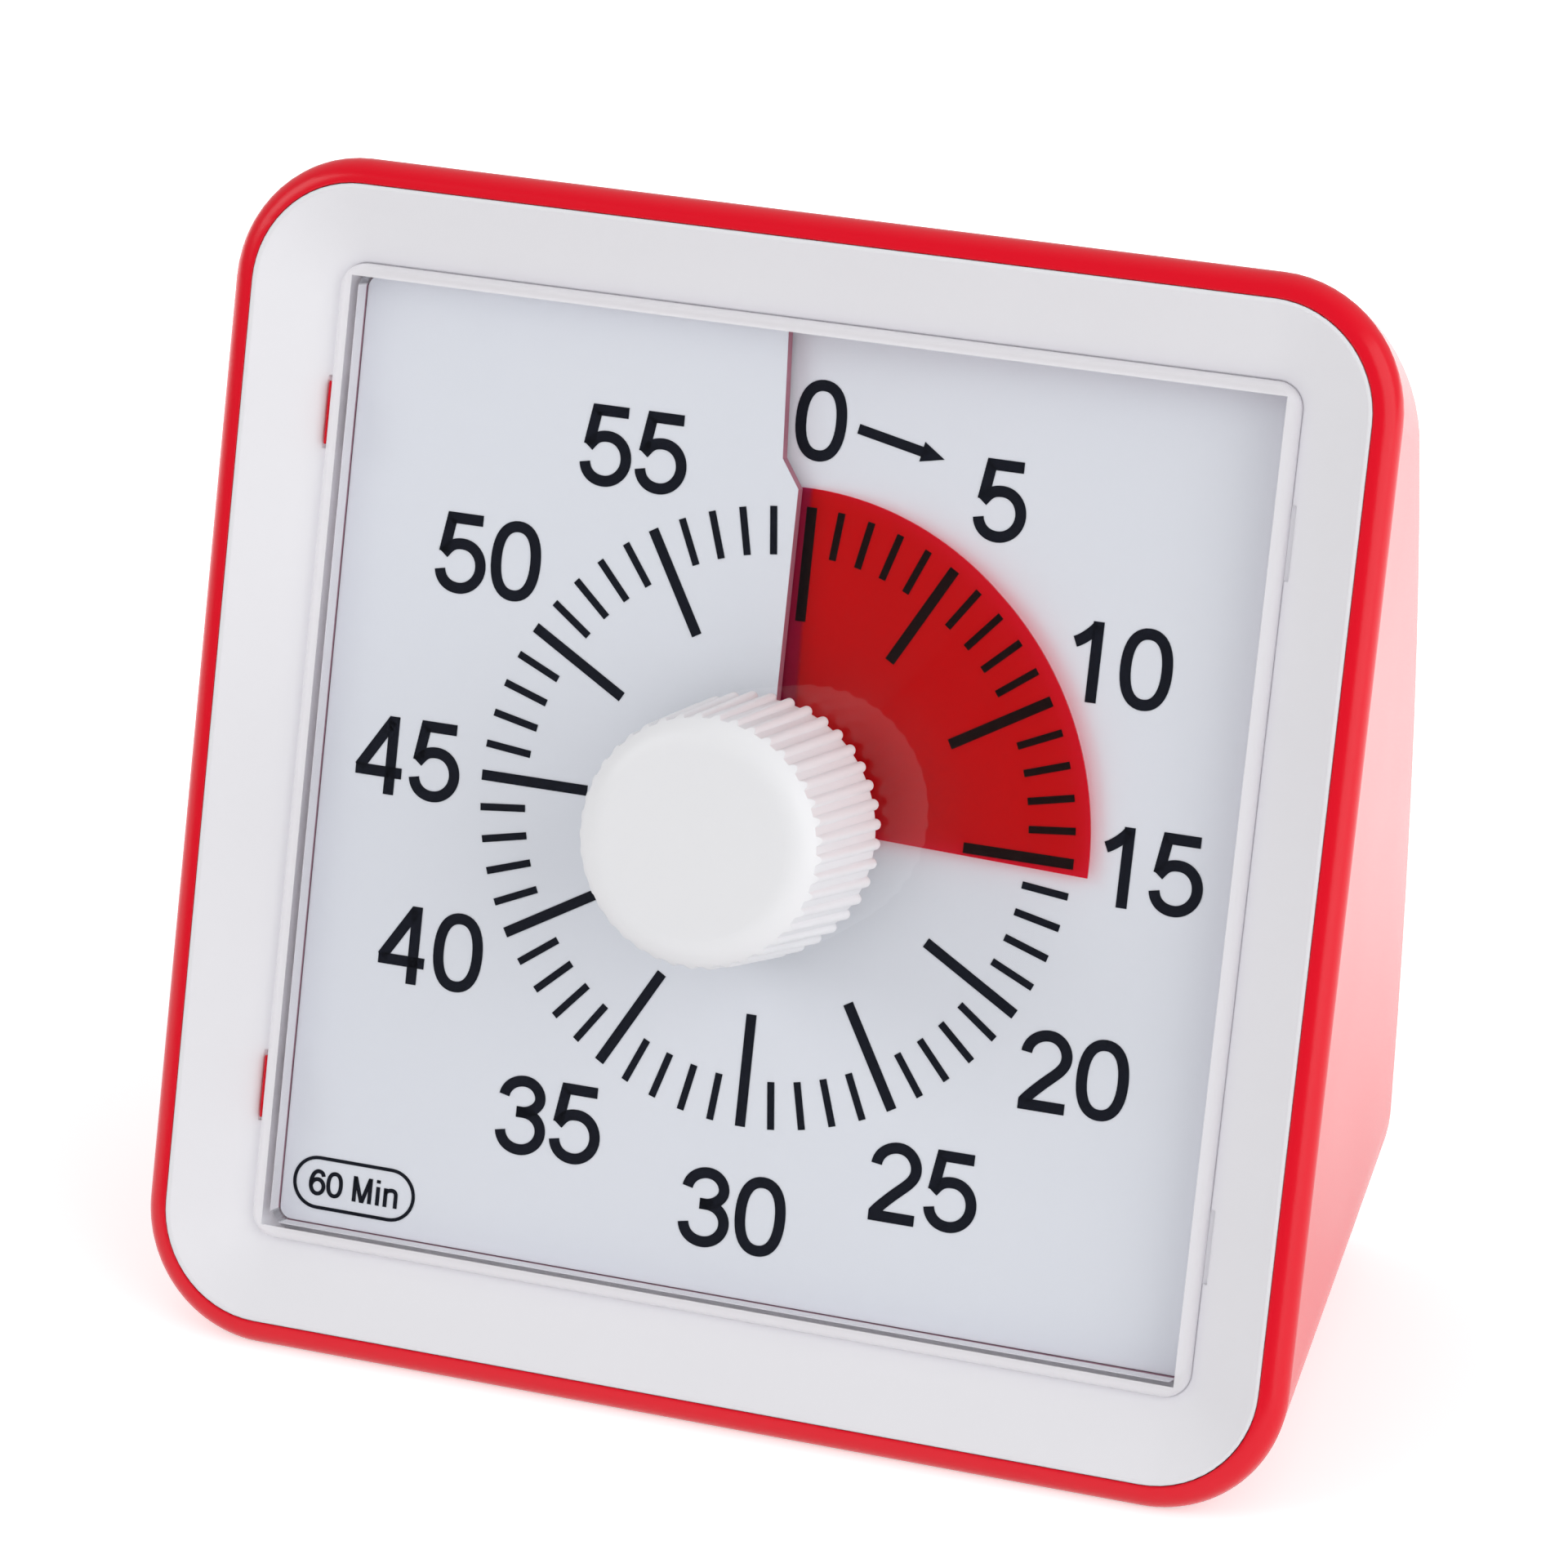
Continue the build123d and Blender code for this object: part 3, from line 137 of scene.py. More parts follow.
# %% [markdown]
# ## The dial's own frame
# The face leans back, so sizes on it are easier to give in its own directions:
# across, up the face and out of it. The knob's joint already knows where the dial's
# middle is and which way its axis points, so the frame is taken from there.

# %% The dial's frame from the knob's joint
knob_joint = next(joint for joint in frame["joints"] if joint["name"] == "knob_turn")
across = Vector((1, 0, 0))
outward = -Vector(knob_joint["axis"])
up_face = outward.cross(across)
face_place = Matrix((across, up_face, outward)).transposed().to_4x4()
face_place.translation = Vector(knob_joint["pos_m"])


def on_face(x, y, level=0.0):
    """Point given in mm across, up and out of the dial, as a point in metres."""
    return face_place @ (Vector((x, y, level)) * MM)


def shift_on_face(x, y, level=0.0):
    """Matrix that takes a piece made about the origin to a point of the face, in mm."""
    return face_place @ Matrix.Translation(Vector((x, y, level)) * MM)


face_lean = math.degrees(math.asin(outward.z))
print("middle of the dial:", on_face(0, 0), "leans back", round(face_lean, 2), "degrees")

# %% [markdown]
# ## Camera
# A long lens from about half a metre away, a little above the face and to its right,
# so the right side shows. The camera's own right and up directions are given in the
# dial's frame. That fixes its aim and its slight roll together, which aiming it at a
# point would not.

# %% Place the camera
CAMERA_RIGHT = Vector((0.938226, 0.103963, -0.330036))
CAMERA_UP = Vector((-0.143365, 0.984874, -0.097317))
CAMERA_SPOT = Vector((155.287, 70.800, 461.152))
camera = bpy.data.objects.new("camera", bpy.data.cameras.new("camera"))
bpy.context.scene.collection.objects.link(camera)
camera.data.lens = 154.07
camera.data.sensor_width = 36
camera.data.clip_start = 0.05
camera_turn = Matrix((CAMERA_RIGHT, CAMERA_UP, CAMERA_RIGHT.cross(CAMERA_UP))).transposed()
camera.matrix_world = shift_on_face(*CAMERA_SPOT) @ camera_turn.to_4x4()
bpy.context.scene.camera = camera
print("camera at", camera.matrix_world.translation)

# %% [markdown]
# ## Colours and nodes
# Shaders work in linear light, while colours are picked as sRGB codes, so one
# function turns one into the other. One more adds a node with its settings, its values
# and the links into it, which keeps every material below to a few readable lines.

# %% Helpers for materials
WHITE = (1, 1, 1, 1)


def colour(code):
    """Linear colour of an sRGB hex code."""
    parts = [int(code[i:i + 2], 16) / 255 for i in (0, 2, 4)]
    linear = [p / 12.92 if p <= 0.04045 else ((p + 0.055) / 1.055) ** 2.4 for p in parts]
    return (*linear, 1.0)


def new_material(name):
    """Material with its one Principled shader and its output, all three returned."""
    material = bpy.data.materials.new(name)
    material.use_nodes = True
    nodes = material.node_tree.nodes
    return material, nodes["Principled BSDF"], nodes["Material Output"]


def add_node(owner, kind, values=None, links=None, **settings):
    """Add a node to a material or a world, with its settings, values and links.

    Values go by the socket they are set on. Links go by the socket they enter, and each
    is the node that it comes from with the name of the output there.
    """
    node = owner.node_tree.nodes.new(kind)
    for key, value in settings.items():
        setattr(node, key, value)
    for key, value in (values or {}).items():
        node.inputs[key].default_value = value
    for key, (start, output) in (links or {}).items():
        owner.node_tree.links.new(start.outputs[output], node.inputs[key])
    return node


def join(owner, start, output, end, entry):
    """Link a node's output to the input of a node that was there before it."""
    owner.node_tree.links.new(start.outputs[output], end.inputs[entry])


print("a white of eeeeee is", [round(part, 3) for part in colour("eeeeee")])

# %% [markdown]
# ## Moulded plastic
# Most pieces come out of a steel mould. Such a surface is never quite even: the
# mould's own finish gives a fine grain, and the melt's flow leaves broad, faint
# patches in colour and shine. Both are noise on the piece's own coordinates, at real
# sizes. A bevel node softens the sharp edges of the solid as the mould's edges do.

# %% Shine, relief and soft edges
EDGE_SAMPLES = 4


def finish_surface(material, shader, patches, grain, roughness, height, edge):
    """Give a shader its shine from one texture and its relief from another.

    Roughness is the least and the most, height that of the relief in mm, and edge the
    radius in mm to which sharp edges look softened.
    """
    shine = add_node(material, "ShaderNodeMapRange",
                     {"To Min": roughness[0], "To Max": roughness[1]}, {"Value": (patches, "Fac")})
    edges = add_node(material, "ShaderNodeBevel", {"Radius": edge * MM}, samples=EDGE_SAMPLES)
    relief = add_node(material, "ShaderNodeBump", {"Strength": 1.0, "Distance": height * MM},
                      {"Height": (grain, "Fac"), "Normal": (edges, "Normal")})
    join(material, shine, "Result", shader, "Roughness")
    join(material, relief, "Normal", shader, "Normal")


print("edges are softened from", EDGE_SAMPLES, "samples")

# %% Moulded plastic
PLASTIC_IOR = 1.5
PATCH_SIZE = 18


def moulded_plastic(name, codes, roughness, grain, edge, specular=0.5):
    """Plastic of two close colours; its grain is given as its size and height in mm."""
    material, shader, _ = new_material(name)
    place = add_node(material, "ShaderNodeTexCoord")
    patches = add_node(material, "ShaderNodeTexNoise",
                       {"Scale": 1 / (PATCH_SIZE * MM), "Detail": 3.0},
                       {"Vector": (place, "Object")})
    fine = add_node(material, "ShaderNodeTexNoise",
                    {"Scale": 1 / (grain[0] * MM), "Detail": 2.0}, {"Vector": (place, "Object")})
    shades = add_node(material, "ShaderNodeMix", {"A": colour(codes[0]), "B": colour(codes[1])},
                      {"Factor": (patches, "Fac")}, data_type="RGBA")
    shader.inputs["IOR"].default_value = PLASTIC_IOR
    shader.inputs["Specular IOR Level"].default_value = specular
    join(material, shades, "Result", shader, "Base Color")
    finish_surface(material, shader, patches, fine, roughness, grain[1], edge)
    return material


print("flow patches are about", PATCH_SIZE, "mm across")

# %% The casing's plastics
# Glossy ABS: the red shell and the battery door, polished with a faint orange peel.
red_abs = moulded_plastic("red_glossy_abs", ("ec0624", "e80422"), roughness=(0.2, 0.25),
                          grain=(0.9, 0.004), edge=0.25, specular=0.35)
door_abs = moulded_plastic("red_door_abs", ("ea0624", "e60422"), roughness=(0.26, 0.32),
                           grain=(0.5, 0.006), edge=0.2, specular=0.35)
# Satin ABS: the white front frame, from a finely blasted mould.
bezel_abs = moulded_plastic("white_satin_abs", ("f0eff3", "edecf0"), roughness=(0.42, 0.5),
                            grain=(0.28, 0.004), edge=0.2)
# Polystyrene sheet: the printed dial plate, smooth and a little cool in tone.
plate_styrene = moulded_plastic("white_dial_styrene", ("f1f3f9", "eef1f8"),
                                roughness=(0.5, 0.56), grain=(0.35, 0.003), edge=0.08)
print("casing plastics:", red_abs.name, door_abs.name, bezel_abs.name, plate_styrene.name)

# %% The movement's plastics
# Acetal: wheels, cam and hub, slippery and slightly creamy.
acetal = moulded_plastic("natural_acetal", ("efece4", "e9e5db"), roughness=(0.36, 0.44),
                         grain=(0.3, 0.003), edge=0.05)
# Glass filled nylon: the black chassis that the movement hangs on.
black_nylon = moulded_plastic("black_filled_nylon", ("24262a", "1c1e22"),
                              roughness=(0.5, 0.62), grain=(0.25, 0.01), edge=0.1)
# Grey ABS: the movement's tray and the sealed motor.
grey_abs = moulded_plastic("grey_movement_abs", ("c4c9cf", "bcc1c8"), roughness=(0.38, 0.48),
                           grain=(0.35, 0.005), edge=0.1)
motor_abs = moulded_plastic("dark_motor_abs", ("3c4046", "34373c"), roughness=(0.4, 0.5),
                            grain=(0.35, 0.005), edge=0.1)
# Black ABS: the buzzer's can, and the switch with a deeper, grippier grain.
buzzer_abs = moulded_plastic("black_buzzer_abs", ("1c1c1e", "161618"), roughness=(0.42, 0.52),
                             grain=(0.3, 0.006), edge=0.1)
switch_abs = moulded_plastic("black_switch_abs", ("232325", "1c1c1e"), roughness=(0.45, 0.55),
                             grain=(0.22, 0.01), edge=0.1)
print("movement plastics from", acetal.name, "to", switch_abs.name)

# %% [markdown]
# ## Painted mauve on the wall of the slit
# The plate's high side ends at the slit in a small step. The red film passes right
# behind it, so the red light from the film and the step's shade are painted on the wall
# as a dull mauve. The wall is the only place left of 12 o'clock that lies between the
# plate's two levels, and that is how it is found.

# %% Distance along the face
def along_face(material, way):
    """Node whose Value is how far a point lies from the dial's middle along a direction."""
    place = add_node(material, "ShaderNodeTexCoord")
    from_middle = add_node(material, "ShaderNodeVectorMath", {1: face_place.translation},
                           {0: (place, "Object")}, operation="SUBTRACT")
    return add_node(material, "ShaderNodeVectorMath", {1: way}, {0: (from_middle, "Vector")},
                    operation="DOT_PRODUCT")


print("levels are measured along", [round(part, 3) for part in outward])

# %% Paint red light and shade on the slit's wall
# Each limit fades in from one distance in mm to the next, and its full share is what the
# limits before it leave, so the last one holds where all of them do.
WALL_LIMITS = ((outward, -1.43, -1.37), (outward, -0.03, -0.09), (across, -0.25, -0.35))
plate_shader = plate_styrene.node_tree.nodes["Principled BSDF"]
plate_tone = plate_shader.inputs["Base Color"].links[0].from_node
wall_share = None
for way, outside, inside in WALL_LIMITS:
    limit = add_node(plate_styrene, "ShaderNodeMapRange",
                     {"From Min": outside * MM, "From Max": inside * MM},
                     {"Value": (along_face(plate_styrene, way), "Value")})
    if wall_share:
        join(plate_styrene, wall_share, "Result", limit, "To Max")
    wall_share = limit
# Painted red light and shade: the wall's mauve stands for the film's red light and the step's shade.
wall_painted_red_shade = add_node(plate_styrene, "ShaderNodeMix", {"B": colour("b06f80")},
                     {"Factor": (wall_share, "Result"), "A": (plate_tone, "Result")},
                     data_type="RGBA")
join(plate_styrene, wall_painted_red_shade, "Result", plate_shader, "Base Color")
print("slit wall found by", len(WALL_LIMITS), "limits")

# %% [markdown]
# ## Knob
# The knob is thick white plastic that lets a little light in, which is why its ribs
# look soft rather than chalky. A small amount of subsurface scattering with a radius
# of about a millimetre gives that. Plain white paint would look harder.

# %% Knob plastic
KNOB_LIGHT_DEPTH = 1.2
knob_abs = moulded_plastic("white_translucent_abs", ("f2f2f4", "efeff2"),
                           roughness=(0.34, 0.4), grain=(0.5, 0.003), edge=0.12)
knob_shader = knob_abs.node_tree.nodes["Principled BSDF"]
knob_shader.inputs["Subsurface Weight"].default_value = 0.35
knob_shader.inputs["Subsurface Radius"].default_value = (0.9, 0.9, 0.9)
knob_shader.inputs["Subsurface Scale"].default_value = KNOB_LIGHT_DEPTH * MM
print("knob lets light in about", KNOB_LIGHT_DEPTH, "mm")

# %% [markdown]
# ## Metals
# A metal keeps its colour in its reflection, so its base colour is the tint of that
# reflection. What sets one part from the next is how it was made: rolled strip has
# long fine lines, a turned pin has rings, plating has small soft patches. Noise that
# is squeezed along one direction draws such lines.

# %% Worked metal
METAL_EDGE = 0.08


def worked_metal(name, code, roughness, pattern, height):
    """Metal with lines or patches; pattern gives their size along X, Y and Z in mm."""
    material, shader, _ = new_material(name)
    place = add_node(material, "ShaderNodeTexCoord")
    squeeze = add_node(material, "ShaderNodeMapping",
                       {"Scale": [1 / (size * MM) for size in pattern]},
                       {"Vector": (place, "Object")})
    lines = add_node(material, "ShaderNodeTexNoise", {"Scale": 1.0, "Detail": 3.0},
                     {"Vector": (squeeze, "Vector")})
    shader.inputs["Base Color"].default_value = colour(code)
    shader.inputs["Metallic"].default_value = 1.0
    finish_surface(material, shader, lines, lines, roughness, height, METAL_EDGE)
    return material


print("metal edges are rounded by", METAL_EDGE, "mm")

# %% The metals
# Ground steel, for shaft and pin: fine rings along their length.
ground_steel = worked_metal("ground_steel", "b4b6ba", (0.2, 0.32), (3.0, 0.12, 3.0), 0.0006)
# Rolled spring steel: lines along the strip.
spring_steel = worked_metal("rolled_spring_steel", "979a9f", (0.26, 0.4), (2.5, 0.1, 0.1), 0.0008)
# Zinc plate, for the screws: small soft patches.
zinc_plate = worked_metal("zinc_plated_steel", "a9abb0", (0.28, 0.48), (0.7, 0.7, 0.7), 0.0012)
# Nickel plate, for the battery contacts, the leaf and the crystal's can.
nickel_plate = worked_metal("nickel_plated_strip", "cfcfd2", (0.16, 0.28), (0.15, 2.0, 2.0), 0.0006)
can_plate = worked_metal("plated_crystal_can", "c9c9cd", (0.14, 0.24), (0.5, 0.5, 0.5), 0.0005)
# Turned brass, for the shaft's bearing.
turned_brass = worked_metal("turned_brass", "c59d55", (0.22, 0.34), (1.5, 0.08, 1.5), 0.0008)
print("metals from", ground_steel.name, "to", turned_brass.name)

# %% [markdown]
# ## Windings, board and cell
# Three finishes have a pattern that the eye expects. The coil shows its turns of
# wire, the board has copper tracks under green lacquer, and the cell wears a jacket
# with a coloured end and bare steel at both poles. All three are worked out from
# real sizes on the piece's own coordinates.

# %% Copper winding
# A wave repeats every 0.314 divided by its scale, which gives the wires their pitch.
WIRE_PITCH = 0.16
WAVE_REPEAT = 0.314
copper_wire, wire_shader, _ = new_material("enamelled_copper_wire")
wire_place = add_node(copper_wire, "ShaderNodeTexCoord")
wire_turns = add_node(copper_wire, "ShaderNodeTexWave", {"Scale": WAVE_REPEAT / (WIRE_PITCH * MM)},
                      {"Vector": (wire_place, "Object")}, bands_direction="X")
wire_tone = add_node(copper_wire, "ShaderNodeMix", {"A": colour("7a3a1a"), "B": colour("c0703a")},
                     {"Factor": (wire_turns, "Fac")}, data_type="RGBA")
wire_relief = add_node(copper_wire, "ShaderNodeBump", {"Strength": 1.0, "Distance": 0.05 * MM},
                       {"Height": (wire_turns, "Fac")})
wire_shader.inputs["Metallic"].default_value = 0.8
wire_shader.inputs["Roughness"].default_value = 0.32
join(copper_wire, wire_tone, "Result", wire_shader, "Base Color")
join(copper_wire, wire_relief, "Normal", wire_shader, "Normal")
print("turns per mm:", round(1 / WIRE_PITCH, 1))

# %% Green board
TRACK_UNIT, TRACK_ROW = 6, 0.2
green_board, board_shader, _ = new_material("green_lacquered_board")
board_place = add_node(green_board, "ShaderNodeTexCoord")
tracks = add_node(green_board, "ShaderNodeTexBrick", {
    "Color1": colour("1f6b3a"), "Color2": colour("1b6035"), "Mortar": colour("12452a"),
    "Scale": 1 / (TRACK_UNIT * MM), "Mortar Size": 0.03, "Brick Width": 0.6,
    "Row Height": TRACK_ROW}, {"Vector": (board_place, "Object")})
track_relief = add_node(green_board, "ShaderNodeBump", {"Strength": 1.0, "Distance": 0.03 * MM},
                        {"Height": (tracks, "Fac")})
board_shader.inputs["Roughness"].default_value = 0.3
join(green_board, tracks, "Color", board_shader, "Base Color")
join(green_board, track_relief, "Normal", board_shader, "Normal")
print("track pitch", round(TRACK_UNIT * TRACK_ROW, 2), "mm")

# %% Cell jacket
# By share of the cell's length: bare foot, dark jacket, coloured end and bare button.
JACKET_COLOURS = ((0.0, "c9cacc"), (0.03, "1d2420"), (0.7, "b98a3c"), (0.955, "c9cacc"))
JACKET_METAL = ((0.0, "ffffff"), (0.03, "000000"), (0.955, "ffffff"))
cell_low, cell_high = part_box("battery")
cell_jacket, jacket_shader, _ = new_material("cell_jacket_and_steel")
jacket_place = add_node(cell_jacket, "ShaderNodeTexCoord")
jacket_along = add_node(cell_jacket, "ShaderNodeSeparateXYZ",
                        links={"Vector": (jacket_place, "Object")})
jacket_share = add_node(cell_jacket, "ShaderNodeMapRange",
                        {"From Min": cell_low.x, "From Max": cell_high.x},
                        {"Value": (jacket_along, "X")})
for stops, entry in ((JACKET_COLOURS, "Base Color"), (JACKET_METAL, "Metallic")):
    ramp = add_node(cell_jacket, "ShaderNodeValToRGB", links={"Fac": (jacket_share, "Result")})
    ramp.color_ramp.interpolation = "CONSTANT"
    elements = ramp.color_ramp.elements
    while len(elements) < len(stops):
        elements.new(0.5)
    for element, (share, code) in zip(elements, stops):
        element.position = share
        element.color = colour(code)
    join(cell_jacket, ramp, "Color", jacket_shader, entry)
jacket_shader.inputs["Roughness"].default_value = 0.25
print("cell", round((cell_high.x - cell_low.x) / MM, 1), "mm long")

# %% [markdown]
# ## Clear window
# The window is polished acrylic, about a millimetre and a half thick. It bends light
# very little at this thickness, so it is mixed from a clear shader and a mirror, by
# the Fresnel amount of acrylic. Light then passes straight through to the dial and
# the knob still shows its ghost in the window. A glass shader would shade the dial.

# %% Clear acrylic
def mirror_over_clear(name, ior, roughness):
    """Clear shader under a mirror of the Fresnel amount, on faces met from outside."""
    material, unused_shader, output = new_material(name)
    material.node_tree.nodes.remove(unused_shader)
    through = add_node(material, "ShaderNodeBsdfTransparent")
    mirror = add_node(material, "ShaderNodeBsdfGlossy", {"Color": WHITE, "Roughness": roughness})
    amount = add_node(material, "ShaderNodeFresnel", {"IOR": ior})
    side = add_node(material, "ShaderNodeNewGeometry")
    outside = add_node(material, "ShaderNodeMix", {"B": 0.0},
                       {"Factor": (side, "Backfacing"), "A": (amount, "Fac")}, data_type="FLOAT")
    mix = add_node(material, "ShaderNodeMixShader", links={
        "Fac": (outside, "Result"), 1: (through, "BSDF"), 2: (mirror, "BSDF")})
    join(material, mix, "Shader", output, "Surface")
    return material, through, mix


CLEAR_PASSES = (0.993, 0.995, 0.998, 1)
clear_acrylic, acrylic_through, acrylic_mix = mirror_over_clear("clear_polished_acrylic", 1.5, 0.02)
acrylic_through.inputs["Color"].default_value = CLEAR_PASSES
print("each face of the window passes", CLEAR_PASSES[:3])

# %% Where the window's pale rim is
# Over its skirt the window is thick and gathers light, and that light is painted as a
# diffuse white ring along its border. How far a point lies from the middle, across or up
# the face, tells where. Light goes on through the rim to the skirt behind it, so it casts
# only a faint shadow.
RIM_STARTS, RIM_BLUR = 35.87, 0.02
RIM_PALE, RIM_SHADOW = 0.85, 0.15
rim_across, rim_up = [
    add_node(clear_acrylic, "ShaderNodeMath", links={0: (along_face(clear_acrylic, way), "Value")},
             operation="ABSOLUTE") for way in (across, up_face)]
rim_reach = add_node(clear_acrylic, "ShaderNodeMath",
                     links={0: (rim_across, "Value"), 1: (rim_up, "Value")}, operation="MAXIMUM")
rim_rays = add_node(clear_acrylic, "ShaderNodeLightPath")
rim_full = add_node(clear_acrylic, "ShaderNodeMapRange",
                    {"To Min": RIM_PALE, "To Max": RIM_PALE * RIM_SHADOW},
                    {"Value": (rim_rays, "Is Shadow Ray")})
rim_share = add_node(clear_acrylic, "ShaderNodeMapRange", {
    "From Min": (RIM_STARTS - RIM_BLUR) * MM, "From Max": (RIM_STARTS + RIM_BLUR) * MM},
    {"Value": (rim_reach, "Value"), "To Max": (rim_full, "Result")})
print("rim starts", RIM_STARTS, "mm from the middle")

# %% Colour of the rim, with its painted red reflection
# At the skirt's foot the red shell behind shines into the plastic, and that red light is
# painted as a thin mauve line. The rim's outer part has none, because the front frame
# closes it off from the red.
RIM_FOOT, FOOT_BLUR = 0.22, 0.06
RIM_PLAIN_FROM, RIM_PLAIN_TO = 36.0, 36.1
rim_lift = add_node(clear_acrylic, "ShaderNodeMapRange", {
    "From Min": (RIM_FOOT - FOOT_BLUR) * MM, "From Max": (RIM_FOOT + FOOT_BLUR) * MM},
    {"Value": (along_face(clear_acrylic, outward), "Value")})
rim_far = add_node(clear_acrylic, "ShaderNodeMapRange",
                   {"From Min": RIM_PLAIN_FROM * MM, "From Max": RIM_PLAIN_TO * MM},
                   {"Value": (rim_reach, "Value")})
rim_plain = add_node(clear_acrylic, "ShaderNodeMath",
                     links={0: (rim_lift, "Result"), 1: (rim_far, "Result")}, operation="MAXIMUM")
# Painted light: the white stands for gathered light, and the mauve for red light from the shell.
rim_painted_white_and_red = add_node(clear_acrylic, "ShaderNodeMix", {"A": colour("a8808f"), "B": colour("f4f2f6")},
                    {"Factor": (rim_plain, "Value")}, data_type="RGBA")
rim_white = add_node(clear_acrylic, "ShaderNodeBsdfDiffuse", links={"Color": (rim_painted_white_and_red, "Result")})
rim_mix = add_node(clear_acrylic, "ShaderNodeMixShader", links={
    "Fac": (rim_share, "Result"), 1: (acrylic_mix, "Shader"), 2: (rim_white, "BSDF")})
join(clear_acrylic, rim_mix, "Shader", clear_acrylic.node_tree.nodes["Material Output"], "Surface")
print("mauve line lies below level", RIM_FOOT, "mm")

# %% [markdown]
# ## Red film
# The time left is shown by a thin red film that turns with the knob. It is cut along
# one radius and threaded through a slit in the plate: the part above the plate is
# seen, the rest is behind it. It is see-through, so the printed marks show through
# it. Light goes in and comes back out, so the tint is the square root of the red
# that is seen.

# %% Film material
FILM_TINT = (0.93, 0.008, 0.04)
SHADE_STRIP_TINT = (0.7, 0.05, 0.22)
STRIP_LEAN = 0.036
STRIP_FADES_FROM, STRIP_FADES_TO = 0.7, 1.0


def each_face(tint, share=1.0):
    """Tint of one face: the film has two, so each takes half of it."""
    return (*[math.sqrt(share * part) for part in tint], 1)


red_film_tint, film_through, _ = mirror_over_clear("red_transparent_film", 1.3, 0.3)
film_place = add_node(red_film_tint, "ShaderNodeTexCoord")
film_patches = add_node(red_film_tint, "ShaderNodeTexNoise", {"Scale": 1 / (9 * MM), "Detail": 2.0},
                        {"Vector": (film_place, "Object")})
film_tone = add_node(red_film_tint, "ShaderNodeMix",
                     {"A": each_face(FILM_TINT), "B": each_face(FILM_TINT, 0.95)},
                     {"Factor": (film_patches, "Fac")}, data_type="RGBA")
# Beside the slit the film dips under the plate's edge, into its shade, and that shade is
# painted as a darker strip. The strip leans, so it is wider at the knob than at the
# film's outer edge.
strip_reach = along_face(red_film_tint, across + STRIP_LEAN * up_face)
strip_fade = add_node(red_film_tint, "ShaderNodeMapRange",
                      {"From Min": STRIP_FADES_FROM * MM, "From Max": STRIP_FADES_TO * MM},
                      {"Value": (strip_reach, "Value")})
# Painted shade: a darker red where the plate's edge shades the film.
painted_shade_strip = add_node(red_film_tint, "ShaderNodeMix", {"A": each_face(SHADE_STRIP_TINT)},
                      {"Factor": (strip_fade, "Result"), "B": (film_tone, "Result")},
                      data_type="RGBA")
join(red_film_tint, painted_shade_strip, "Result", film_through, "Color")
print("seen red about", [round(part ** 2, 4) for part in FILM_TINT])

# %% [markdown]
# The film is one ribbon that winds once round the dial. At rest a quarter of it lies
# above the plate, from the slit to just past 15 minutes, and the rest lies below. A flat
# grid is wrapped round the axis, each row at its own angle and level, and a solidify
# modifier gives it its thickness. A disc could not pass through the slit.

# %% Levels of the plate and of the film, in mm
LOW_SIDE, RAMP_END = -1.45, 158.0
FILM_SHOWN, FILM_HIDDEN = 91.7, 268.3
FILM_AT_SLIT, FILM_CLIMB = -1.15, 1.45
CLIMB_ENDS, SINK_STARTS = 39.5, 151.5


def plate_level(turn):
    """Level of the plate at an angle clockwise from 12 o'clock, in degrees."""
    return LOW_SIDE * max(0.0, 1 - turn / RAMP_END)


def film_level(turn):
    """Level of the film's upper face; turns below zero lie behind the plate."""
    if turn >= 0:
        return FILM_AT_SLIT + FILM_CLIMB * min(1.0, turn / CLIMB_ENDS)
    sunk = (-turn - SINK_STARTS) / (FILM_HIDDEN - SINK_STARTS)
    return FILM_AT_SLIT - FILM_CLIMB * max(0.0, sunk)


print("plate at 12, 3 and 6 o'clock:", plate_level(0), round(plate_level(90), 2), plate_level(180))

# %% Wrap a grid into the film
FILM_INNER, FILM_OUTER, FILM_THICK = 4.2, 24.4, 0.15
clear_selection()
bpy.ops.mesh.primitive_grid_add(x_subdivisions=6, y_subdivisions=360, size=1)
film = bpy.context.object
film.name = "film_ribbon"
turns = film.data.attributes.new("film_turn", "FLOAT", "POINT")
for number, vertex in enumerate(film.data.vertices):
    radius = FILM_INNER + (FILM_OUTER - FILM_INNER) * (vertex.co.x + 0.5)
    turn = (FILM_SHOWN + FILM_HIDDEN) * (vertex.co.y + 0.5) - FILM_HIDDEN
    angle = math.radians(turn)
    level = film_level(turn) - FILM_THICK / 2
    turns.data[number].value = turn
    vertex.co = on_face(radius * math.sin(angle), radius * math.cos(angle), level)
thickness = film.modifiers.new("thickness", "SOLIDIFY")
thickness.thickness = FILM_THICK * MM
thickness.offset = 0
bpy.ops.object.modifier_apply(modifier="thickness")
edit_all()
turn_outwards()
bpy.ops.object.shade_smooth_by_angle(angle=math.radians(30))
film.data.materials.append(red_film_tint)
print("film vertices:", len(film.data.vertices))

# %% [markdown]
# The film bends between two bodies: it stays where it passes the slit, which belongs
# to the casing, and follows the knob at both of its cut edges. Each point's share of
# the knob's turn is its distance from the slit, as a fraction of the way to its edge.

# %% Let the film wind through the slit
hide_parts("red_film")
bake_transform(film, "housing_body", "knob_body",
         start=on_face(0, FILM_OUTER), end=on_face(FILM_OUTER, 0))
shares = film.data.attributes["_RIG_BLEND"]
for number, item in enumerate(film.data.attributes["film_turn"].data):
    reach = FILM_SHOWN if item.value >= 0 else FILM_HIDDEN
    shares.data[number].value = abs(item.value) / reach
print("film follows the knob at both ends of", len(shares.data), "points")

# %% [markdown]
# ## Printed scale
# The marks are screen printed. Ink has almost no thickness, but a mark with none
# would flicker against the plate, so each one is a thin slab sunk a little into the
# plate and standing a few hundredths above it. Drawing them as geometry keeps their
# edges sharp at any distance, which a painted texture would not.

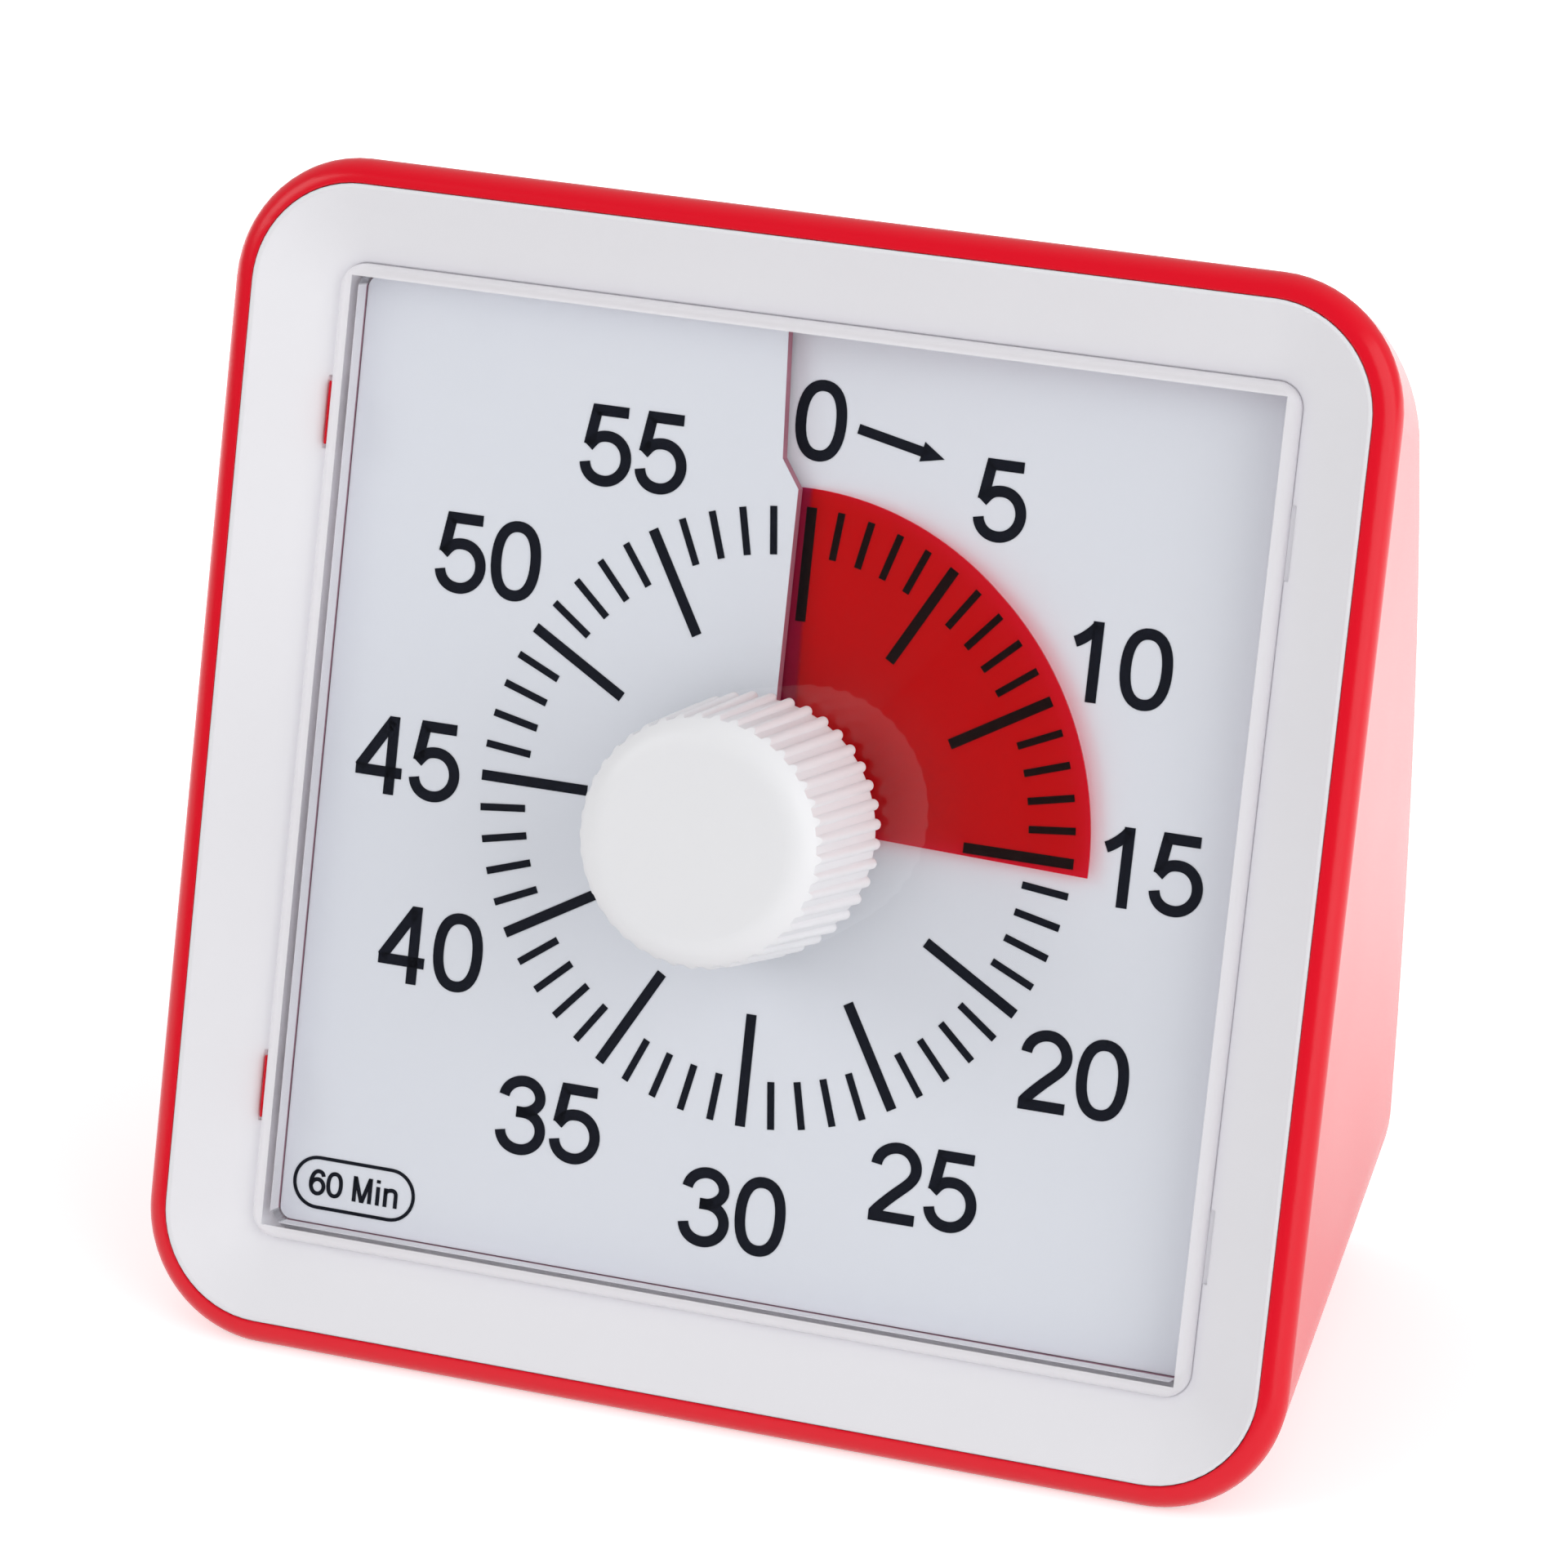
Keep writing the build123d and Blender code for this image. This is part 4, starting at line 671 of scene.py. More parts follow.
# %% Ink
INK_SUNK, INK_PROUD = 0.10, 0.05
INK_SPECKLE = 0.12
ink, ink_shader, _ = new_material("black_screen_ink")
ink_place = add_node(ink, "ShaderNodeTexCoord")
ink_speckle = add_node(ink, "ShaderNodeTexNoise", {"Scale": 1 / (INK_SPECKLE * MM), "Detail": 2.0},
                       {"Vector": (ink_place, "Object")})
ink_tone = add_node(ink, "ShaderNodeMix", {"A": colour("0c0f1a"), "B": colour("141826")},
                    {"Factor": (ink_speckle, "Fac")}, data_type="RGBA")
ink_shader.inputs["Roughness"].default_value = 0.5
ink_shader.inputs["IOR"].default_value = 1.35
ink_shader.inputs["Specular IOR Level"].default_value = 0.25
join(ink, ink_tone, "Result", ink_shader, "Base Color")
print("ink stands", INK_PROUD, "mm above the plate")

# %% Lay a mark on the plate
SLIT_OUTER, SLIT_INNER, SLIT_LEAN = -1.95, -0.5, 0.06
JOG_START, JOG_END = 26.4, 24.3


def slit_at(y):
    """Where the slit runs at a height above the middle."""
    share = min(1.0, max(0.0, (y - JOG_END) / (JOG_START - JOG_END)))
    return SLIT_INNER + (SLIT_OUTER - SLIT_INNER) * share - SLIT_LEAN * max(0.0, y - JOG_START)


def level_at(x, y):
    """Level of the plate at a point of the dial."""
    if y > 0 and slit_at(y) <= x < 0:
        return LOW_SIDE
    return plate_level(math.degrees(math.atan2(x, y)) % 360)


def lay_on_plate(piece):
    """Bend a flat piece, drawn in mm about the dial's middle, to the plate's slope."""
    for vertex in piece.data.vertices:
        x, y, height = vertex.co
        vertex.co = on_face(x, y, level_at(x, y) + height)
    piece.data.update()


print("plate under the 0 and under the 30:", level_at(0, 29), round(level_at(0, -29), 2))

# %% Give a mark its thickness
def raise_ink():
    """In edit mode, sink an outline under the plate's face and extrude it to the ink's top."""
    bpy.ops.transform.translate(value=(0, 0, -INK_SUNK))
    extrude(INK_SUNK + INK_PROUD)


def close_up(piece):
    """Merge doubled points and turn all faces outwards."""
    choose(piece)
    edit_all()
    bpy.ops.mesh.remove_doubles(threshold=0.0001)
    turn_outwards()


def print_on_plate(pieces, name):
    """Join the parts of a mark into one piece that rides on the casing."""
    whole = gather(pieces, name, ink)
    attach(whole, "housing_body")
    return whole


print("ink is", round(INK_SUNK + INK_PROUD, 2), "mm thick in all")

# %% [markdown]
# A scale mark is one bar, modelled once at 12 o'clock and copied round: a plane is
# drawn out to the bar's length and width, then extruded to the ink's thickness. The
# long marks stand at every fifth minute and reach further in.

# %% Minute marks
MARK_OUTER = 23.0
SHORT_INNER, SHORT_WIDE = 19.45, 0.54
LONG_INNER, LONG_WIDE = 14.59, 0.78
ZERO_SHIFT = 0.06


def bar(inner, outer, width, shift=0.0):
    """Flat bar in mm that points up from the middle."""
    clear_selection()
    bpy.ops.mesh.primitive_plane_add(size=1, location=(0, 0, 0))
    piece = bpy.context.object
    edit_all()
    bpy.ops.transform.resize(value=(width, outer - inner, 1), center_override=(0, 0, 0))
    bpy.ops.transform.translate(value=(shift, (inner + outer) / 2, 0))
    raise_ink()
    turn_outwards()
    return piece


def copies_round(model, minutes):
    """Copies of a bar, each turned to its minute and laid on the plate."""
    turns = [Matrix.Rotation(-math.radians(minute * 6), 4, "Z") for minute in minutes]
    made = [own_copy(model, turn) for turn in turns]
    for copy in made:
        lay_on_plate(copy)
    bpy.data.objects.remove(model)
    return made


short_bar = bar(SHORT_INNER, MARK_OUTER, SHORT_WIDE)
short_marks = copies_round(short_bar, [m for m in range(60) if m % 5])
short_marks = print_on_plate(short_marks, "minute_marks")
long_marks = copies_round(bar(LONG_INNER, MARK_OUTER, LONG_WIDE), range(5, 60, 5))
zero_mark = bar(LONG_INNER, MARK_OUTER, LONG_WIDE, shift=ZERO_SHIFT)
lay_on_plate(zero_mark)
long_marks = print_on_plate([*long_marks, zero_mark], "five_minute_marks")
print("mark faces:", len(short_marks.data.polygons), "and", len(long_marks.data.polygons))

# %% [markdown]
# ## Numerals
# The figures are upright grotesque numerals with one width of stroke. Blender's own
# font has thinner, more pointed ones, so each figure is drawn as the path a pen would
# take. A path is a curve; it is made a mesh, extruded into a low wall and given the
# stroke's width by a solidify modifier. That keeps every stroke equally thick.

# %% Paths of the figures
# Each point is x, y and the half tangent; the figures are 5.9 mm high about their middle.
FIGURE_PATHS = {
    "0": [("loop", [(1.56, 0, 0, 1.76), (0, 2.58, -0.94, 0), (-1.56, 0, 0, -1.76),
                    (0, -2.58, 0.94, 0)])],
    "1": [("line", [(0.45, -2.95, 0, 0), (0.45, 2.95, 0, 0)]),
          ("line", [(0.45, 2.70, -0.24, -0.46), (-1.18, 1.30, -0.52, -0.20)])],
    "2": [("line", [(-1.55, 1.22, 0.04, 0.78), (0.06, 2.6, 0.86, 0), (1.52, 1.12, 0, -0.72),
                    (0.30, -0.62, -0.62, -0.56), (-1.42, -2.42, -0.22, -0.36)]),
          ("line", [(-1.78, -2.6, 0, 0), (1.74, -2.6, 0, 0)])],
    "3": [("line", [(-1.52, 1.36, 0.10, 0.74), (0.02, 2.6, 0.76, 0), (1.36, 1.36, 0, -0.66),
                    (0.02, 0.24, -0.50, 0), (-0.42, 0.24, 0, 0)]),
          ("line", [(-0.42, 0.24, 0, 0), (0.12, 0.24, 0.78, 0), (1.58, -1.12, 0, -0.80),
                    (0.0, -2.6, -0.86, 0), (-1.60, -1.30, -0.10, 0.78)])],
    "4": [("line", [(0.80, -2.95, 0, 0), (0.80, 2.95, 0, 0)]),
          ("line", [(0.72, 2.66, 0, 0), (-1.70, -1.12, 0, 0)]),
          ("line", [(-1.98, -1.27, 0, 0), (1.72, -1.27, 0, 0)])],
    "5": [("line", [(1.48, 2.6, 0, 0), (-0.98, 2.6, 0, 0), (-1.40, -0.02, 0, 0)]),
          ("line", [(-1.42, -0.16, 0.42, 0.52), (0.04, 0.72, 0.88, 0), (1.60, -0.94, 0, -0.94),
                    (-0.02, -2.6, -0.86, 0), (-1.60, -1.30, -0.10, 0.78)])],
    "6": [("line", [(1.46, 1.50, -0.14, 0.66), (0.10, 2.6, -0.90, 0), (-1.58, -0.30, 0, -1.5),
                    (0.06, -2.6, 0.86, 0), (1.60, -0.92, 0, 0.92), (0.06, 0.74, -0.82, 0),
                    (-1.54, -0.85, -0.06, -0.6)])],
    "M": [("line", [(-1.9, -2.95, 0, 0), (-1.9, 2.95, 0, 0)]),
          ("line", [(1.9, -2.95, 0, 0), (1.9, 2.95, 0, 0)]),
          ("line", [(-1.8, 2.7, 0, 0), (-0.15, -2.55, 0, 0), (0.15, -2.55, 0, 0),
                    (1.8, 2.7, 0, 0)])],
    "i": [("line", [(0, -2.95, 0, 0), (0, 1.35, 0, 0)]),
          ("line", [(0, 2.2, 0, 0), (0, 2.95, 0, 0)])],
    "n": [("line", [(-1.3, -2.95, 0, 0), (-1.3, 1.35, 0, 0)]),
          ("line", [(-1.3, 0.0, 0.1, 0.78), (0.2, 1.05, 0.68, 0), (1.25, -0.05, 0, -0.66),
                    (1.25, -2.95, 0, 0)])],
}
print("figures drawn:", "".join(FIGURE_PATHS))

# %% Draw with strokes
def strokes(paths, width, scale=1.0, shift=(0.0, 0.0)):
    """Printed strokes of one width along paths, each a closed low wall, in mm."""
    made = []
    for kind, points in paths:
        line = bpy.data.curves.new("stroke", "CURVE")
        line.resolution_u = 10
        spline = line.splines.new("BEZIER")
        spline.bezier_points.add(len(points) - 1)
        spline.use_cyclic_u = kind == "loop"
        for knot, (x, y, along, rise) in zip(spline.bezier_points, points):
            here = Vector((x * scale + shift[0], y * scale + shift[1], 0))
            lean = Vector((along, rise, 0)) * scale
            knot.co, knot.handle_left, knot.handle_right = here, here - lean, here + lean
        piece = bpy.data.objects.new("stroke", line)
        bpy.context.scene.collection.objects.link(piece)
        choose(piece)
        bpy.ops.object.convert(target="MESH")
        piece = bpy.context.object
        edit_all()
        bpy.ops.mesh.remove_doubles(threshold=0.004)
        raise_ink()
        bpy.ops.object.mode_set(mode="OBJECT")
        pen = piece.modifiers.new("pen", "SOLIDIFY")
        pen.thickness = width
        pen.offset = 0
        pen.use_even_offset = True
        bpy.ops.object.modifier_apply(modifier="pen")
        close_up(piece)
        made.append(piece)
    return made


FIGURE_PEN, FIGURE_STEP = 0.82, 4.35


def numeral(text, x, y):
    """A number of one or two figures with its middle at x, y."""
    made = []
    for place, figure in enumerate(text):
        across_by = x + (place - (len(text) - 1) / 2) * FIGURE_STEP
        made += strokes(FIGURE_PATHS[figure], FIGURE_PEN, shift=(across_by, y))
    for piece in made:
        lay_on_plate(piece)
    return print_on_plate(made, "numeral_" + text)


print("pen width", FIGURE_PEN, "mm, figures", FIGURE_STEP, "mm apart")

# %% Print the numerals
NUMERAL_PLACES = {
    "0": (0.06, 29.37), "5": (14.42, 25.34), "10": (24.54, 14.76), "15": (28.64, 0.34),
    "20": (24.88, -15.26), "25": (14.54, -25.24), "30": (0.13, -29.46), "35": (-15.0, -24.97),
    "40": (-25.69, -13.6), "45": (-28.98, 0.36), "50": (-24.18, 16.15), "55": (-13.61, 25.54),
}
numerals = [numeral(text, *place) for text, place in NUMERAL_PLACES.items()]
print("numerals:", len(numerals))

# %% [markdown]
# ## Arrow and range mark
# An arrow beside the 0 says which way to turn the knob, and a small rounded frame
# holds the dial's range. Both use the same pen as the figures, with a finer one for
# the frame. The arrow's head is a three-sided disc, stretched and extruded.

# %% Arrow
ARROW_TAIL, ARROW_TIP = Vector((3.0, 29.16)), Vector((9.8, 27.77))
ARROW_PEN, SHAFT_SHORT = 0.74, 1.4
HEAD_HALF, HEAD_REACH = 0.87, 1.2
arrow_way = (ARROW_TIP - ARROW_TAIL).normalized()
shaft_end = ARROW_TIP - arrow_way * SHAFT_SHORT
arrow_shaft = strokes([("line", [(*ARROW_TAIL, 0, 0), (*shaft_end, 0, 0)])], ARROW_PEN)
clear_selection()
bpy.ops.mesh.primitive_circle_add(vertices=3, radius=1, fill_type="NGON", location=(0, 0, 0))
arrow_head = bpy.context.object
edit_all()
bpy.ops.transform.resize(value=(HEAD_HALF, HEAD_REACH, 1), center_override=(0, 0, 0))
raise_ink()
bpy.ops.object.mode_set(mode="OBJECT")
head_place = Matrix.Rotation(math.atan2(arrow_way.y, arrow_way.x) - math.pi / 2, 4, "Z")
head_place.translation = (ARROW_TIP - arrow_way * HEAD_REACH).to_3d()
arrow_head.data.transform(head_place)
close_up(arrow_head)
for piece in (*arrow_shaft, arrow_head):
    lay_on_plate(piece)
print_on_plate([*arrow_shaft, arrow_head], "turn_arrow")
print("arrow", round((ARROW_TIP - ARROW_TAIL).length, 2), "mm long")

# %% Letters of the range mark
MARK_X, MARK_Y = -30.0, -32.7
MARK_SCALE, LETTER_PEN = 0.33, 0.3
MARK_TEXT = "60 Min"
ADVANCE = {"6": 4.3, "0": 4.3, " ": 2.0, "M": 5.5, "i": 2.2, "n": 4.2}
text_length = sum(ADVANCE[letter] for letter in MARK_TEXT) * MARK_SCALE
left = MARK_X - text_length / 2
range_parts = []
for letter in MARK_TEXT:
    step = ADVANCE[letter] * MARK_SCALE
    if letter in FIGURE_PATHS:
        spot = (left + step / 2, MARK_Y)
        range_parts += strokes(FIGURE_PATHS[letter], LETTER_PEN, MARK_SCALE, spot)
    left += step
print("letters take", round(text_length, 2), "mm")

# %% Frame of the range mark
# A handle of this share of the radius makes a quarter of a curve very nearly a circle's.
CIRCLE_HANDLE = 0.5523
MARK_WIDE, MARK_HIGH, FRAME_PEN = 9.7, 3.8, 0.26
end_radius = MARK_HIGH / 2
flat_half = MARK_WIDE / 2 - end_radius
pull = CIRCLE_HANDLE * end_radius
frame_path = [
    (flat_half, -end_radius, pull, 0), (flat_half + end_radius, 0, 0, pull),
    (flat_half, end_radius, -pull, 0), (-flat_half, end_radius, -pull, 0),
    (-flat_half - end_radius, 0, 0, -pull), (-flat_half, -end_radius, pull, 0)]
range_parts += strokes([("loop", frame_path)], FRAME_PEN, shift=(MARK_X, MARK_Y))
for piece in range_parts:
    lay_on_plate(piece)
print_on_plate(range_parts, "range_mark")
print("range mark", MARK_WIDE, "by", MARK_HIGH, "mm")

# %% [markdown]
# ## Casing screws
# Four pan head screws with a cross recess draw the casing together from the rear.
# Their heads sit deep in the posts, where only the head is seen. A cylinder gets its
# domed edge by a bevel, the shank is extruded from an inset of its underside, and a
# crossed pair of slim blocks is cut away to leave the recess.

# %% One screw
HEAD_RADIUS, HEAD_HEIGHT = 2.5, 1.5
SHANK_RADIUS, SHANK_LENGTH = 1.1, 6.3
POINT_LENGTH, POINT_SHARE = 0.6, 0.6


def select_faces(piece, wanted):
    """Select the faces of a piece, in edit mode, whose middle and normal pass a test."""
    bpy.ops.object.mode_set(mode="EDIT")
    bpy.ops.mesh.select_mode(type="FACE")
    bpy.ops.mesh.select_all(action="DESELECT")
    bpy.ops.object.mode_set(mode="OBJECT")
    for face in piece.data.polygons:
        face.select = wanted(face.center, face.normal)
    bpy.ops.object.mode_set(mode="EDIT")


clear_selection()
bpy.ops.mesh.primitive_cylinder_add(vertices=48, radius=HEAD_RADIUS * MM, depth=HEAD_HEIGHT * MM,
                                    location=(0, 0, -HEAD_HEIGHT * MM / 2))
screw = bpy.context.object
bpy.ops.object.transform_apply(location=True, rotation=False, scale=False)
select_faces(screw, lambda middle, normal: normal.z > 0.9)
bpy.ops.mesh.inset(thickness=(HEAD_RADIUS - SHANK_RADIUS) * MM)
extrude((SHANK_LENGTH - POINT_LENGTH) * MM)
extrude(POINT_LENGTH * MM)
bpy.ops.transform.resize(value=(POINT_SHARE, POINT_SHARE, 1))
bpy.ops.object.mode_set(mode="OBJECT")
print("screw", round(screw.dimensions.z / MM, 2), "mm long")

# %% Its domed head
HEAD_INSET, HEAD_ROUND = 0.8, 0.7
select_faces(screw, lambda middle, normal: normal.z < -0.9)
bpy.ops.mesh.inset(thickness=HEAD_INSET * MM)
bpy.ops.mesh.select_all(action="DESELECT")
bpy.ops.object.mode_set(mode="OBJECT")
for edge in screw.data.edges:
    ends = [screw.data.vertices[i].co for i in edge.vertices]
    on_top = all(abs(end.z + HEAD_HEIGHT * MM) < 1e-6 for end in ends)
    edge.select = on_top and all(end.xy.length > (HEAD_RADIUS - 0.1) * MM for end in ends)
bpy.ops.object.mode_set(mode="EDIT")
bpy.ops.mesh.select_mode(type="EDGE")
bpy.ops.mesh.bevel(offset=HEAD_ROUND * MM, segments=5, affect="EDGES")
bpy.ops.object.mode_set(mode="OBJECT")
print("screw faces before the recess:", len(screw.data.polygons))

# %% Its cross recess
RECESS_SIZE, RECESS_TAPER = (2.6, 0.55, 1.8), (0.55, 0.7, 1)


def block(size):
    """Block of a size in mm about the origin."""
    clear_selection()
    bpy.ops.mesh.primitive_cube_add(size=1, location=(0, 0, 0))
    edit_all()
    bpy.ops.transform.resize(value=[side * MM for side in size], center_override=(0, 0, 0))
    bpy.ops.object.mode_set(mode="OBJECT")
    return bpy.context.object


for turn in (0, 90):
    blade = block(RECESS_SIZE)
    select_faces(blade, lambda middle, normal: normal.z > 0.9)
    bpy.ops.transform.resize(value=RECESS_TAPER, center_override=(0, 0, 0))
    bpy.ops.object.mode_set(mode="OBJECT")
    to_head = Matrix.Translation((0, 0, -HEAD_HEIGHT * MM))
    blade.data.transform(to_head @ Matrix.Rotation(math.radians(turn), 4, "Z"))
    choose(screw)
    cut = screw.modifiers.new("recess", "BOOLEAN")
    cut.object = blade
    cut.solver = "EXACT"
    bpy.ops.object.modifier_apply(modifier="recess")
    bpy.data.objects.remove(blade)
bpy.ops.object.shade_smooth_by_angle(angle=math.radians(35))
print("screw faces with the recess:", len(screw.data.polygons))

# %% Copy it to the four posts
POST_X, POST_Y, SCREW_SEAT = 35.3, 19.5, -8.5
screws_low, screws_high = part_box("housing_screws")
casing_screws = []
for number, (side, end) in enumerate(((-1, 1), (1, 1), (-1, -1), (1, -1))):
    turned = Matrix.Rotation(math.radians(20 * number + 10), 4, "Z")
    spot = shift_on_face(side * POST_X, end * POST_Y, SCREW_SEAT)
    casing_screws.append(own_copy(screw, spot @ turned))
bpy.data.objects.remove(screw)
casing_screws = gather(casing_screws, "casing_screws", zinc_plate)
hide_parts("housing_screws")
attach(casing_screws, "housing_body")
print("screws in the model's box:", screws_low, screws_high)

# %% [markdown]
# ## Red hairlines at the left tabs
# The front frame is cut away beside the window's snap tabs, and at the left a hairline
# of the red shell shows along the window's edge there. Each one is a slim block between
# the frame and the window, modelled once and copied. A wider gap would show the tab.

# %% Red hairlines
HAIRLINE_SIZE = (0.16, 4.7, 0.8)
HAIRLINE_X, HAIRLINE_Y, HAIRLINE_LEVEL = -36.9, 25.5, 2.55
hairline = block(HAIRLINE_SIZE)
for name, end in (("upper_tab_hairline", 1), ("lower_tab_hairline", -1)):
    copy = own_copy(hairline, shift_on_face(HAIRLINE_X, end * HAIRLINE_Y, HAIRLINE_LEVEL))
    copy.name = name
    copy.data.materials.append(red_abs)
    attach(copy, "housing_body")
bpy.data.objects.remove(hairline)
print("hairlines are", HAIRLINE_SIZE[1], "mm long")

# %% [markdown]
# ## Lip round the window
# The frame closes against the window with a thin flexible lip, so the gap between them
# shows as a fine pale line and not as a dark one. A plane with rounded corners is inset,
# its middle is deleted, and the ring that is left is extruded. A curve with a bevel
# would make one too, but with a round section.

# %% Lip
LIP_INNER, LIP_OUTER, LIP_CORNER = 36.81, 37.3, 2.4
LIP_FOOT, LIP_TOP = 1.5, 2.1
clear_selection()
bpy.ops.mesh.primitive_plane_add(size=2 * LIP_OUTER * MM, location=(0, 0, 0))
window_lip = bpy.context.object
window_lip.name = "window_lip"
edit_all()
bpy.ops.mesh.bevel(offset=LIP_CORNER * MM, segments=8, affect="VERTICES")
bpy.ops.mesh.select_all(action="SELECT")
bpy.ops.mesh.inset(thickness=(LIP_OUTER - LIP_INNER) * MM)
bpy.ops.mesh.delete(type="ONLY_FACE")
bpy.ops.mesh.select_all(action="SELECT")
extrude((LIP_TOP - LIP_FOOT) * MM)
turn_outwards()
window_lip.data.transform(shift_on_face(0, 0, LIP_FOOT))
window_lip.data.materials.append(bezel_abs)
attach(window_lip, "housing_body")
print("lip faces:", len(window_lip.data.polygons))

# %% [markdown]
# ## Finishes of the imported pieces
# A piece of the frame keeps its shape and takes its material by its slots. The table
# below reads as a bill of materials: what each piece is, and what it is made of.

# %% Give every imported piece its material
NODE_MATERIALS = {
    "housing": red_abs, "battery_door": door_abs, "bezel": bezel_abs,
    "dial_plate": plate_styrene, "lens": clear_acrylic, "timer_knob": knob_abs,
    "film_hub": acetal, "knob_shaft": ground_steel, "chassis": black_nylon,
    "chassis_bush": turned_brass, "main_wheel": acetal, "intermediate_gear": acetal,
    "motor_pinion": acetal, "intermediate_pin": ground_steel, "clutch_spring": spring_steel,
    "clutch_collar": ground_steel, "alarm_cam": acetal, "contact_leaf": nickel_plate,
    "motor_unit": motor_abs, "motor_coil": copper_wire, "circuit_board": green_board,
    "quartz_crystal": can_plate, "movement_case": grey_abs, "movement_screws": zinc_plate,
    "housing_screws": zinc_plate, "buzzer": buzzer_abs, "switch_body": switch_abs,
    "sound_switch": switch_abs, "battery": cell_jacket, "battery_plate": nickel_plate,
    "battery_leaf": nickel_plate, "red_film": red_film_tint,
}
for node, material in NODE_MATERIALS.items():
    for slot in frame["nodes"][node].material_slots:
        slot.material = material
print("packed pieces without a material:", sorted(set(frame["nodes"]) - set(NODE_MATERIALS)))

# %% [markdown]
# ## Stage and light
# The timer stands on a plain white floor. A large soft lamp from the upper left
# models the knob, a larger one at the right lays its broad reflection on the side
# wall, and an even white sky fills the rest. The floor stays diffuse, so it keeps the
# shadow, and a little glow of its own for the camera lifts it to white.

# %% Floor
FLOOR_SIDE = 6
# The glow rises with the depth of the floor, in metres, so the far floor is the whitest.
GLOW_FROM, GLOW_TO = 0.02, 0.10
GLOW_LEAST, GLOW_MOST = 0.5, 1.05


def any_ray(owner, names):
    """Node whose Value is 1 for a ray of any of the kinds named, and 0 for the rest."""
    rays = add_node(owner, "ShaderNodeLightPath")
    found = add_node(owner, "ShaderNodeMath", links={0: (rays, names[0]), 1: (rays, names[1])},
                     operation="MAXIMUM")
    for name in names[2:]:
        found = add_node(owner, "ShaderNodeMath", links={0: (found, "Value"), 1: (rays, name)},
                         operation="MAXIMUM")
    return found


clear_selection()
bpy.ops.mesh.primitive_plane_add(size=FLOOR_SIDE, location=(0, 0, 0))
floor = bpy.context.object
floor.name = "floor"
floor_paper, unused_shader, floor_output = new_material("white_floor_paper")
floor_paper.node_tree.nodes.remove(unused_shader)
floor_matt = add_node(floor_paper, "ShaderNodeBsdfDiffuse", {"Color": colour("f0f0f0")})
floor_spot = add_node(floor_paper, "ShaderNodeTexCoord")
floor_along = add_node(floor_paper, "ShaderNodeSeparateXYZ",
                       links={"Vector": (floor_spot, "Object")})
floor_rise = add_node(floor_paper, "ShaderNodeMapRange", {
    "From Min": GLOW_FROM, "From Max": GLOW_TO, "To Min": GLOW_LEAST, "To Max": GLOW_MOST},
    {"Value": (floor_along, "Y")})
floor_glow = add_node(floor_paper, "ShaderNodeEmission", {"Color": WHITE},
                      {"Strength": (floor_rise, "Result")})
floor_sum = add_node(floor_paper, "ShaderNodeAddShader",
                     links={0: (floor_matt, "BSDF"), 1: (floor_glow, "Emission")})
floor_seen = any_ray(floor_paper, ("Is Camera Ray", "Is Glossy Ray", "Is Transmission Ray"))
floor_mix = add_node(floor_paper, "ShaderNodeMixShader", links={
    "Fac": (floor_seen, "Value"), 1: (floor_matt, "BSDF"), 2: (floor_sum, "Shader")})
join(floor_paper, floor_mix, "Shader", floor_output, "Surface")
floor.data.materials.append(floor_paper)
print("floor", FLOOR_SIDE, "m square")

